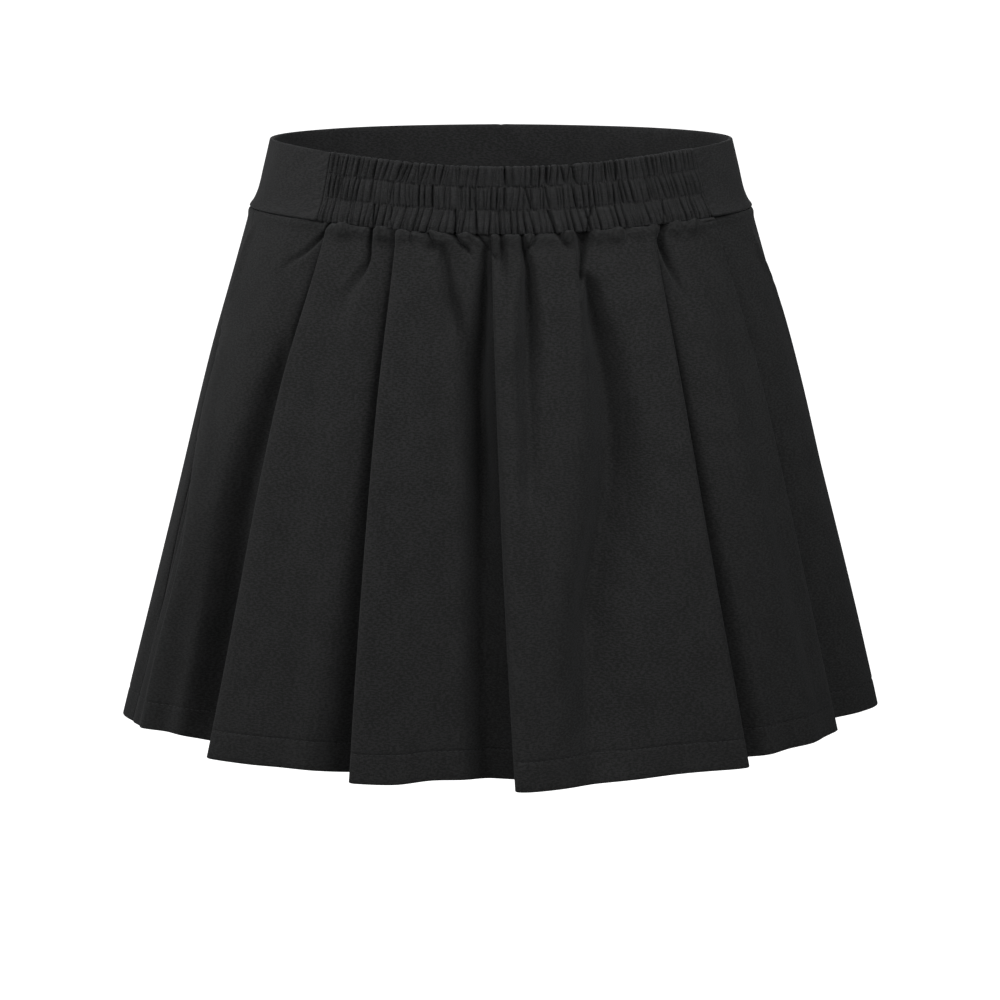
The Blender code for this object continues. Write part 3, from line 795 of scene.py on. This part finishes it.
def fold_places(pleat, down):
    """The places along a knife pleat: way along from its edge, out, and how much deeper."""
    outer, inner = fold_levels(pleat, down)
    below = min(max(down, 0.0), 1.0)
    lap = mix(pleat.lap_waist, pleat.lap_hem, down)
    turn = mix(CRISP_TURN, pleat.turn, math.sqrt(math.sin(math.pi * below)))
    turn = min(turn, (outer - inner) / 2)
    tip = turn / 2
    recess = pleat.recess * below ** RECESS_POWER
    slot = SLOT_TOP + (pleat.slot - SLOT_TOP) * below ** (0.6 if pleat.brim else SLOT_POWER)
    brim = pleat.brim * (1 - below) ** 2 * max(outer - inner - turn - 1, 0.0)
    if pleat.brim:
        under = [(-1.7 * slot, inner, 0.0), (-slot, inner, recess),
                 (-0.45 * slot, inner + 0.4 * brim, 0.9 * recess),
                 (0.0, inner + brim, 0.7 * recess)]
    else:
        under = [(-slot, inner, 0.0), (-0.6 * slot, inner, 0.4 * recess),
                 (-0.25 * slot, inner, 0.9 * recess), (0.4 * lap, inner, recess)]
    return under + [
        (lap - tip, inner, recess / 3),
        (lap, inner + tip, 0.0),
        (lap - tip, inner + turn, 0.0),
        (tip, outer - turn, 0.0),
        (0.0, outer - tip, 0.0),
        (tip, outer, 0.0),
        (pleat.approach, outer, 0.0),
    ]


# "fall" is how much lower the hem hangs there
Station = namedtuple("Station", "bearing out steps edge fall", defaults=(False, 0.0))


def fold_stations(pleat, down, ring):
    """A pleat's stations, left to right. "edge" marks its pressed edge."""
    edge = pleat_edge(pleat, down)
    run = math.hypot(*ring_run(ring, edge))
    stations = []
    for index, (way, out, deeper) in enumerate(fold_places(pleat, down)):
        stations.append(Station(edge + math.degrees(pleat.faces * -way / run), out - deeper,
                                FOLD_STEPS[index], index == PRESSED_EDGE,
                                RECESS_FALL * deeper * down ** 6))
    if pleat.faces > 0:
        steps = [station.steps for station in stations]
        stations = [station._replace(steps=count) for station, count
                    in zip(reversed(stations), steps[-2::-1] + steps[-1:])]
    return stations


def skirt_stations(half, start, end, down, ring):
    """All the stations along one half of the skirt at one height."""
    folds = [fold_stations(pleat, down, ring) for pleat in half.pleats]
    stations = [Station(start, RELAXED_OUT, half.panels[0].steps)]
    for panel, fold in zip(half.panels, folds + [[Station(end, RELAXED_OUT, 1)]]):
        left, right = stations[-1]._replace(steps=panel.steps), fold[0]
        stations[-1] = left
        for third, belly in ((1 / 3, panel.first), (2 / 3, panel.second)):
            bearing = mix(left.bearing, right.bearing, third)
            open_out = mix(left.out, right.out, third) + belly
            out = mix(RELAXED_OUT, open_out, opening(down))
            stations.append(Station(bearing, out, panel.steps))
        stations += fold
    return stations


def gathered_share(half, bearing):
    """1 below the gathered part of the waistband, falling to 0 beside it."""
    if half.name != "front":
        return 0.0
    inside = min(bearing - LEFT_JOIN[1], RIGHT_JOIN[1] - bearing)
    return min(max(inside / 3, 0.0), 1.0)


def puff_share(half, bearing):
    """How far the gathers puff out just below the seam: 0 at a tuck and beside the gathers."""
    share = gathered_share(half, bearing)
    for rows in half.creases.values():
        if rows[0].down == 0.0:
            share *= 1 - bell(bearing - rows[0].bearing, GATHER_TUCK + rows[0].left / 4)
    return share


def crease_height(creases, ring, bearing):
    """How far all the creases of one height move the cloth out at a bearing."""
    degree = degree_length(ring, bearing)
    height = 0.0
    for crease in creases:
        away = (bearing - crease.bearing) * degree
        width = max(crease.left if away < 0 else crease.right, 0.3)
        if abs(away) < 3 * width:
            height += crease.height * bell(away, width)
    return height


def waist_shape(half, bearing, drop):
    """The skirt's rounded top: how far out and up it lies, a drop below the waist seam."""
    gathered = gathered_share(half, bearing)
    puff = puff_share(half, bearing) * (
        0.7 + 0.4 * math.sin(0.9 * bearing + 2 + math.sin(0.31 * bearing)))
    turn = mix(0.8, 1.8, gathered)
    out = -turn * math.exp(-drop / 0.8) + WAIST_BUMP * bell(drop - 1.5, 3.0)
    out += PUFF_OUT * puff * bell(drop - 3.0, 4.0)
    out += 0.15 * gathered * bell(drop - 2, 4.0) * math.sin(2.3 * bearing + math.sin(bearing))
    lift = PUFF_LIFT * puff * bell(drop - 1.7, 1.2)
    return out, lift


def sway(bearing, down):
    """The slow unevenness of hanging cloth."""
    return down * (0.7 * math.sin(bearing / 5.3 + 4 * down) * math.sin(bearing / 11 + 1)
                   + 0.4 * math.sin(bearing / 2.9 - 6 * down))


def skirt_line(half, down):
    """A level line of the skirt's cloth: each point's edge wear and painted ridge highlight."""
    ring = along(SKIRT_RINGS, down)
    start = half.left_seam + half_gap(ring, half.left_seam)
    end = half.right_seam - half_gap(ring, half.right_seam)
    stations = skirt_stations(half, start, end, down, ring)
    stations.insert(0, Station(half.left_seam - SEAM_OVERRUN, RELAXED_OUT, 1))
    stations.append(Station(half.right_seam + SEAM_OVERRUN, RELAXED_OUT, 1))
    knots = []
    edges = []
    for bearing, out, steps, edge, fall in stations:
        height = mix(seam_height(bearing) - SEAM_GAP, HEM_HEIGHT, down) - fall
        knots.append((ring_point(ring, bearing, out, height), steps))
        if edge:
            edges.append(sum(count for place, count in knots[:-1]))
    line = smooth_line(knots)
    creases = [along(rows, down) for rows in half.creases.values()
               if rows[0].down <= down <= rows[-1].down]
    middle = (half.left_seam + half.right_seam) / 2
    degree = degree_length(ring, half.left_seam)
    highlight_ridge = along(half.creases["side_ridge"], down)
    shaped = []
    wear = []
    for point in line[1:-1]:
        bearing = ring_bearing(ring, point, middle)
        drop = down * (seam_height(bearing) - HEM_HEIGHT)
        out, lift = waist_shape(half, bearing, drop)
        crease = crease_height(creases, ring, bearing)
        to_seam = max(min(bearing - half.left_seam, half.right_seam - bearing) * degree, 0.0)
        out += crease + sway(bearing, down) * (1 - math.exp(-to_seam / SEAM_CALM))
        lift += RECESS_FALL * min(crease, 0.0) * down ** 6
        out -= 0.2 * math.exp(-to_seam / 0.8)
        to_stitch = (down - STITCH_DOWN) * SKIRT_LENGTH
        out -= 0.4 * bell(to_stitch, 0.9)
        out += 0.12 * math.sin(bearing * 3.1) * math.sin(bearing * 1.7) * bell(to_stitch, 5.0)
        shaped.append(point + way_out(ring, bearing) * out + Vector((0.0, 0.0, lift)))
        # A painted highlight: the side seam's ridge is painted lighter in the wear colour, as where
        # it catches the light.
        wear.append(SIDE_RIDGE_HIGHLIGHT * bell((bearing - highlight_ridge.bearing) * degree, HIGHLIGHT_WIDTH)
                    * bell(down - HIGHLIGHT_MIDDLE, HIGHLIGHT_REACH))
    for edge in edges:
        for index in range(max(edge - 4, 0), min(edge + 3, len(wear))):
            wear[index] = max(wear[index], bell(index - edge + 1, 1.6))
    return shaped, wear, edges


def panel_starts(half):
    """The columns where one panel's grain ends and the next one's starts: inside each fold."""
    columns = []
    column = half.panels[0].steps * 3
    for pleat, panel in zip(half.pleats, half.panels[1:]):
        fold = sum(FOLD_STEPS[:-1])
        inside = sum(FOLD_STEPS[:UNDER_FOLD])
        columns.append(column + (inside if pleat.faces < 0 else fold - inside))
        column += fold + panel.steps * 3
    return columns


def grain_ways(line, starts):
    """The way across the cloth at each point, true to size from the middle of its own panel."""
    ways = measure(line)
    bounds = [0] + starts + [len(line)]
    across = []
    for first, last in zip(bounds, bounds[1:]):
        centre = (first + last - 1) // 2
        across += [way - ways[centre] + PANELS_APART * bounds.index(first)
                   for way in ways[first:last]]
    return across


SKIRT_DOWNS = stretch_steps(SKIRT_STRETCHES)


def skirt_sheet(half, lines):
    """The rows of one half of the skirt, from the hem's raw edge round the fold to the waist."""
    downs = SKIRT_DOWNS
    starts = panel_starts(half)
    length = seam_height(half.left_seam) - HEM_HEIGHT
    rows = turned_up([(shaped, grain_ways(shaped, starts), (2 - down) * length)
                      for down, (shaped, wear, edges) in zip(downs, lines)
                      if down >= STITCH_DOWN - 0.004],
                     [(turn, 0.6 * math.sin(math.radians(turn)))
                      for turn in (0.0, 40.0, 75.0, 110.0, 145.0)])
    for down, (shaped, wear, edges) in reversed(list(zip(downs, lines))):
        across = grain_ways(shaped, starts)
        # Each knot carries its edge wear and the painted highlight on the side seam's ridge.
        rows.append([Knot(point, way, down * length, worn_and_highlit)
                     for point, way, worn_and_highlit in zip(shaped, across, wear)])
    stitch_row = min(range(len(downs)), key=lambda index: abs(downs[index] - STITCH_DOWN))
    return rows, outward_path(lines[stitch_row][0])


# Shorts

def shorts_line(ring, turn, inner_side):
    """A right leg's level line from its front edge round the outside to its back edge."""
    quarter = turn * math.pi / 2
    width = (ring.half_width - inner_side) / (1 + math.sin(quarter))
    middle = ring.half_width - width
    line = []
    for column in range(SHORTS_COLUMNS + 1):
        angle = mix(-quarter, math.pi + quarter, column / SHORTS_COLUMNS)
        depth = ring.front if math.cos(angle) > 0 else ring.back
        line.append(Vector((middle + width * math.sin(angle), -depth * math.cos(angle),
                            -ring.drop)))
    return line


def shorts_lines():
    """The right leg's level lines, from behind the waistband down to the leg's hem."""
    lines = []
    edge = SEWN_GAP / 2
    for lift, inset in ((SHORTS_LIFT, BAND_INSET), (-SEAM_GAP, SEAM_INSET)):
        ring = along(BAND_RINGS, 1 - lift / BAND_HEIGHT)
        line = []
        for column in range(SHORTS_COLUMNS + 1):
            bearing = 180 * column / SHORTS_COLUMNS
            line.append(ring_point(ring, bearing, -inset, seam_height(bearing) + lift))
        line[0].x = line[-1].x = edge
        lines.append(line)
    for ring in HIP_RINGS:
        lines.append(shorts_line(ring, 0.0, edge))
    for turn in CROTCH_TURNS:
        drop = HIP_DROP + CROTCH_DEPTH * math.sin(turn * math.pi / 2)
        lines.append(shorts_line(along(LEG_RINGS, drop), turn, edge + CLOTH / 2 * turn))
    crotch, hem = LEG_RINGS[1].drop, LEG_RINGS[-1].drop
    for ring in LEG_RINGS[2:]:
        share = (ring.drop - crotch) / (hem - crotch)
        lines.append(shorts_line(ring, 1.0, mix(edge + CLOTH / 2, LEG_PART, share)))
    return lines


SHORTS_HEM = 20.0          # the legs' turned-up hem
SHORTS_CLEAR = 1.6         # from the middle of the skirt's cloth to that of the shorts


def shorts_wrinkle(place, drop, side):
    """The soft pulls of a knit short: round the crotch, and a little all over."""
    pull = bell(drop - 225.0, 38.0) * (bell(place - 0.06, 0.1) + bell(place - 0.94, 0.1))
    ripple = math.sin(drop / 7.5 + 26 * abs(place - 0.5) + side)
    slack = math.sin(place * 31 + drop / 33) * math.sin(place * 13 - drop / 57 + side)
    return 1.1 * pull * ripple + 0.6 * slack * min(max((drop - 40) / 60, 0.0), 1.0)


def skirt_room(halves):
    """How far from the waist's axis the skirt's cloth comes in, by row and degree."""
    room = [[math.inf] * 360 for down in SKIRT_DOWNS]
    for lines in halves:
        for row, (shaped, wear, edges) in zip(room, lines):
            for point in shaped:
                degree = round(math.degrees(math.atan2(point.x, -point.y)))
                for near in (degree - 1, degree, degree + 1):
                    row[near % 360] = min(row[near % 360], math.hypot(point.x, point.y))
    return room


def room_push(room, point):
    """How far the skirt's deep creases push the shorts in at a point."""
    drop = seam_height(0.0) - point.z
    down = drop / (seam_height(0.0) - HEM_HEIGHT)
    if down <= 0.004:
        return 0.0
    degree = round(math.degrees(math.atan2(point.x, -point.y))) % 360
    row = min(bisect_right(SKIRT_DOWNS, down), len(SKIRT_DOWNS) - 1)
    nearest = min(room[row - 1][degree], room[row][degree])
    return min(nearest - SHORTS_CLEAR - math.hypot(point.x, point.y), 0.0)


def shorts_sheet(side, room):
    """The rows of one leg from the hem's raw edge up: side is 1 for +X and -1 for -X."""
    coarse = shorts_lines()
    count = len(coarse)
    columns = []
    for column in range(SHORTS_COLUMNS + 1):
        steps = [ROWS_BETWEEN] * (count - 1) + [1]
        steps[0] = 3
        columns.append(smooth_line([(line[column], step)
                                    for line, step in zip(coarse, steps)]))
    lines = []
    for row in range(len(columns[0])):
        line = [column[row] for column in columns]
        shaped = []
        for index, (point, out) in enumerate(outward_path(line)):
            place = index / SHORTS_COLUMNS
            to_seam = min(index, SHORTS_COLUMNS - index) * 4.0
            move = shorts_wrinkle(place, -point.z, side) * min(to_seam / 8, 1.0)
            move -= 0.5 * math.exp(-to_seam / 1.5)
            from_hem = point.z + LEG_RINGS[-1].drop
            move -= 0.2 * bell(from_hem - SHORTS_HEM, 1.6)
            flipped = Vector((side * point.x, point.y, point.z))
            radial = Vector((point.x, point.y, 0.0)).normalized()
            shaped.append(point + out * min(move, 1.2) + radial * room_push(room, flipped))
        for point in shaped:
            point.x = max(point.x, SEWN_GAP / 2)
        for point in shaped[1:-1]:
            point.x = max(point.x, SEWN_GAP / 2 + CLOTH / 2)
        lines.append([Vector((side * point.x, point.y, point.z)) for point in shaped][::side])
    ways_down = measure([line[SHORTS_COLUMNS // 2] for line in lines])
    hem_lines = [line for line in lines if line[0].z < SHORTS_HEM - LEG_RINGS[-1].drop]
    layer = [(line, measure(line), 2 * ways_down[-1] + line[0].z) for line in hem_lines[:-1]]
    layer.append((lines[-1], measure(lines[-1]), ways_down[-1]))
    rows = turned_up(layer, [(turn, 0.4) for turn in (0.0, 60.0, 120.0)])
    for line, way_down in reversed(list(zip(lines, ways_down))):
        rows.append([Knot(point, way, way_down, 0.0) for point, way in zip(line, measure(line))])
    return rows, outward_path(hem_lines[0])


# Materials

class Wire:
    """A socket in a finish. Python's operators on it add Math nodes."""

    def __init__(self, finish, socket):
        self.finish = finish
        self.socket = socket

    def maths(self, operation, *values):
        return self.finish.node("ShaderNodeMath", {"operation": operation}, values)

    def __add__(self, other):
        return self.maths("ADD", self, other)

    def __mul__(self, other):
        return self.maths("MULTIPLY", self, other)

    def __sub__(self, other):
        return self.maths("SUBTRACT", self, other)

    def __rsub__(self, other):
        return self.maths("SUBTRACT", other, self)

    __radd__ = __add__
    __rmul__ = __mul__

    def sine(self):
        return self.maths("SINE", self)

    def size(self):
        return self.maths("ABSOLUTE", self)


class Finish:
    """A material, with one method that adds any node to it."""

    def __init__(self, name):
        self.material = bpy.data.materials.new(name)
        self.material.use_nodes = True
        self.tree = self.material.node_tree
        self.shader = self.tree.nodes["Principled BSDF"]

    def node(self, kind, settings=(), values=(), output=0):
        """Adds a node: its settings first, then the values or wires of its sockets."""
        node = self.tree.nodes.new(kind)
        for setting, value in dict(settings).items():
            setattr(node, setting, value)
        pairs = values.items() if isinstance(values, dict) else enumerate(values)
        for socket, value in pairs:
            self.put(node.inputs[socket], value)
        return Wire(self, node.outputs[output])

    def put(self, socket, value):
        if isinstance(value, Wire):
            self.tree.links.new(value.socket, socket)
        else:
            socket.default_value = value

    def shade(self, **values):
        """Sets the shader's own sockets, named with _ for spaces."""
        for name, value in values.items():
            self.put(self.shader.inputs[name.replace("_", " ")], value)

    def grain(self, across, down):
        """The cloth's own UV map in metres, stretched to so many to the metre each way."""
        place = self.node("ShaderNodeUVMap", {"uv_map": "grain"})
        return self.node("ShaderNodeVectorMath", {"operation": "MULTIPLY"},
                         [place, (across, down, 1.0)])

    def noise(self, across, down, detail=2.0):
        """Noise of so many grains to the metre across and down the cloth."""
        values = {"Vector": self.grain(across, down), "Scale": 1.0, "Detail": detail}
        return self.node("ShaderNodeTexNoise", {"noise_dimensions": "2D"}, values)

    def split(self, vector):
        node = self.node("ShaderNodeSeparateXYZ", {}, [vector]).socket.node
        return Wire(self, node.outputs[0]), Wire(self, node.outputs[1])

    def colour(self, first, second, share):
        """A colour between two, where share runs from 0 to 1."""
        settings = {"data_type": "RGBA", "clamp_factor": True}
        node = self.node("ShaderNodeMix", settings).socket.node
        self.put(node.inputs[0], share)
        self.put(node.inputs[6], first if isinstance(first, Wire) else (*first, 1.0))
        self.put(node.inputs[7], (*second, 1.0))
        return Wire(self, node.outputs[2])


Look = namedtuple("Look", "name dark light roughness sheen threads_across threads_down")
SKIRT_CLOTH = Look("black_skirt_cloth", (0.0115, 0.0118, 0.0118), (0.0255, 0.0258, 0.0262),
                   0.85, 0.07, 1900.0, 1700.0)
BAND_CLOTH = Look("black_band_cloth", (0.013, 0.0132, 0.0134), (0.028, 0.0283, 0.029),
                  0.85, 0.07, 1900.0, 1700.0)
WORN_AND_HIGHLIGHT = (0.045, 0.0455, 0.046)      # where rubbing takes the yarns' dye, and the colour of the painted highlight on the side ridge
SHORTS_KNIT = Look("black_shorts_knit", (0.010, 0.010, 0.0105), (0.018, 0.018, 0.019),
                   0.68, 0.3, 900.0, 1100.0)


def cloth_finish(look):
    """Matt black cloth: threads across and down, uneven yarn, worn edges, a painted ridge
    highlight.
    """
    finish = Finish(look.name)
    weft = finish.noise(430.0, 1350.0)
    warp = finish.noise(1400.0, 560.0)
    slub = finish.noise(560.0, 900.0, detail=3.0)
    cloud = finish.noise(60.0, 50.0, detail=3.0)
    across, down = finish.split(finish.grain(math.pi * look.threads_across,
                                             math.pi * look.threads_down))
    weave = (across.sine() * down.sine()).size()
    wear = finish.node("ShaderNodeAttribute", {"attribute_name": "wear"}, output="Fac")
    yarn = weft * 0.7 + warp * 0.3
    shade = (yarn - 0.5) * 4.6 + (slub - 0.5) * 2.0 + (cloud - 0.5) * 0.8 + weave * 0.12 + 0.42
    # Worn pressed edges and hem folds mix in the pale colour, and so does the painted highlight on
    # the side seam's ridge.
    base = finish.colour(finish.colour(look.dark, look.light, shade), WORN_AND_HIGHLIGHT, wear * 0.08)
    height = yarn * 0.7 + slub * 0.3 + weave * 0.25
    bump = finish.node("ShaderNodeBump", {}, {"Strength": 0.55, "Distance": 0.00035,
                                              "Height": height})
    finish.shade(Base_Color=base, Roughness=look.roughness + (yarn - 0.5) * 0.2, Normal=bump,
                 Metallic=0.0, Specular_IOR_Level=0.25, Sheen_Weight=look.sheen,
                 Sheen_Roughness=0.45, Sheen_Tint=(0.75, 0.77, 0.8, 1.0))
    return finish.material


def thread_finish():
    """Black polyester thread: twisted, and a little glossier than the cloth."""
    finish = Finish("black_thread")
    place = finish.node("ShaderNodeTexCoord", output="Object")
    twist = finish.node("ShaderNodeTexNoise", {}, {"Vector": place, "Scale": 2600.0})
    base = finish.colour((0.006, 0.006, 0.0065), (0.017, 0.017, 0.018), twist)
    bump = finish.node("ShaderNodeBump", {}, {"Strength": 0.4, "Distance": 0.0001,
                                              "Height": twist})
    finish.shade(Base_Color=base, Roughness=0.5 + twist * 0.15, Normal=bump, Metallic=0.0)
    return finish.material


# Pieces

def dress(piece, node, finish):
    """A finished piece takes its finish, rides on the garment and stands for its solid."""
    piece.data.materials.append(finish)
    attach(piece, "root")
    if node:
        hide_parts(node)


def make_waistband(finish, thread):
    front = cloth_sheet("gathered_waistband",
                        band_section(gathered_columns, gathered_relief, True), closed=True)
    dress(front, "waistband_front", finish)
    back = cloth_sheet("plain_waistband", band_section(plain_columns, plain_relief, False),
                       closed=True)
    dress(back, "waistband_back", finish)
    paths = []
    for down in CHANNELS[1:3]:
        ring = along(BAND_RINGS, down)
        places = gathered_columns(down)
        points = []
        for (bearing, share, fullness), relief in zip(places, gathered_relief(down, places)):
            height = mix(rim_height(bearing) - BAND_WALL / 2,
                         seam_height(bearing) + BAND_WALL / 2, down)
            points.append(ring_point(ring, bearing, (BAND_WALL / 2 + relief) * fullness, height))
        paths.append(outward_path(points))
    channel_stitches = thread_piece("channel_stitches", paths, lift=0.12, length=0.9, gap=0.6)
    dress(channel_stitches, None, thread)
    return back


def sew(names, sheet, finish, thread):
    """Hangs a sheet from the band, its hem stitched. "names": its own, the thread's, its node."""
    name, stitches_name, node = names
    rows, stitch_path = sheet
    piece = cloth_sheet(name, rows)
    thicken(piece)
    dress(piece, node, finish)
    stitches = thread_piece(stitches_name, [stitch_path], lift=CLOTH / 2 + 0.05)
    dress(stitches, None, thread)


# Studio

FLOOR_HEIGHT = -0.95       # metres, where the wearer would stand
FLOOR_RADIUS = 40.0
WHITE = 1.2                # how bright floor and world look to the camera
# Lamps by their bearing round the garment, their height above level in degrees, how far away they
# stand and how wide they are in metres, and their power
Light = namedtuple("Light", "name bearing rise away size power")
LIGHTS_AIM = (0.0, 0.0, -0.15)
ROOM_LIGHT = 0.012
LIGHTS = table(
    Light,
    ("right_key", 45, 45, 1.1, 0.5, 4.5),
    ("right_fill", 25, 15, 2.4, 0.9, 9),
    ("front_top", -5, 45, 1.1, 0.5, 1),
    ("left_fill", -25, 15, 2.4, 0.9, 4),
    ("left_key", -45, 45, 1.1, 0.5, 3),
    ("left_side", -95, 15, 2.4, 0.9, 19),
    ("left_back", -150, 10, 2.4, 0.9, 2),
    ("right_back", 170, 10, 2.4, 0.9, 7))


def make_studio():
    """A white room: an even white world, a pale floor and soft lamps from all round."""
    floor_mesh = bmesh.new()
    bmesh.ops.create_circle(floor_mesh, cap_ends=True, segments=96, radius=FLOOR_RADIUS,
                            matrix=Matrix.Translation((0.0, 0.0, FLOOR_HEIGHT)))
    floor = finished("floor", floor_mesh)
    floor.data.shade_flat()
    pale = Finish("pale_floor")
    seen = pale.node("ShaderNodeLightPath", output="Is Camera Ray")
    pale.shade(Base_Color=(0.35, 0.35, 0.35, 1.0), Roughness=0.9, Specular_IOR_Level=0.0,
               Emission_Color=pale.colour((0.0, 0.0, 0.0), (1.0, 1.0, 1.0), seen),
               Emission_Strength=WHITE)
    floor.data.materials.append(pale.material)
    world = bpy.data.worlds.new("white_room")
    world.use_nodes = True
    tree = world.node_tree
    backdrop = tree.nodes["Background"]
    backdrop.inputs["Color"].default_value = (1.0, 1.0, 1.0, 1.0)
    path = tree.nodes.new("ShaderNodeLightPath")
    strength = tree.nodes.new("ShaderNodeMapRange")
    strength.inputs["To Min"].default_value = ROOM_LIGHT
    strength.inputs["To Max"].default_value = WHITE
    tree.links.new(path.outputs["Is Camera Ray"], strength.inputs["Value"])
    tree.links.new(strength.outputs["Result"], backdrop.inputs["Strength"])
    bpy.context.scene.world = world
    for light in LIGHTS:
        data = bpy.data.lights.new(light.name, "AREA")
        data.shape = "DISK"
        data.size = light.size
        data.energy = light.power
        lamp = placed(light.name, data)
        turn, rise = math.radians(light.bearing), math.radians(light.rise)
        away = Vector((math.sin(turn) * math.cos(rise), -math.cos(turn) * math.cos(rise),
                       math.sin(rise)))
        lamp.location = Vector(LIGHTS_AIM) + away * light.away
        lamp.rotation_euler = away.to_track_quat("Z", "Y").to_euler()
    bpy.context.scene.view_settings.view_transform = "Standard"


CAMERA_PLACE = (-0.0006, -1.9, 0.1789)
CAMERA_PITCH = 11.325      # degrees below level
CAMERA_LENS = 113.65


def make_camera():
    data = bpy.data.cameras.new("camera")
    data.lens = CAMERA_LENS
    data.sensor_width = 36.0
    camera = placed("camera", data)
    camera.location = CAMERA_PLACE
    camera.rotation_euler = (math.radians(90 - CAMERA_PITCH), 0.0, 0.0)
    bpy.context.scene.camera = camera


def main():
    make_camera()
    make_studio()
    thread = thread_finish()
    band = make_waistband(cloth_finish(BAND_CLOTH), thread)
    skirt_finish = cloth_finish(SKIRT_CLOTH)
    front, back = [[skirt_line(half, down) for down in SKIRT_DOWNS] for half in (FRONT, BACK)]
    for half, lines in ((FRONT, front), (BACK, back)):
        names = ("skirt_cloth_" + half.name, "hem_stitches_" + half.name, "skirt_" + half.name)
        sew(names, skirt_sheet(half, lines), skirt_finish, thread)
    room = skirt_room((front, back))
    knit = cloth_finish(SHORTS_KNIT)
    for side, name in ((1, "right"), (-1, "left")):
        names = ("shorts_" + name + "_leg", "shorts_hem_stitches_" + name, "shorts_" + name)
        sew(names, shorts_sheet(side, room), knit, thread)


main()
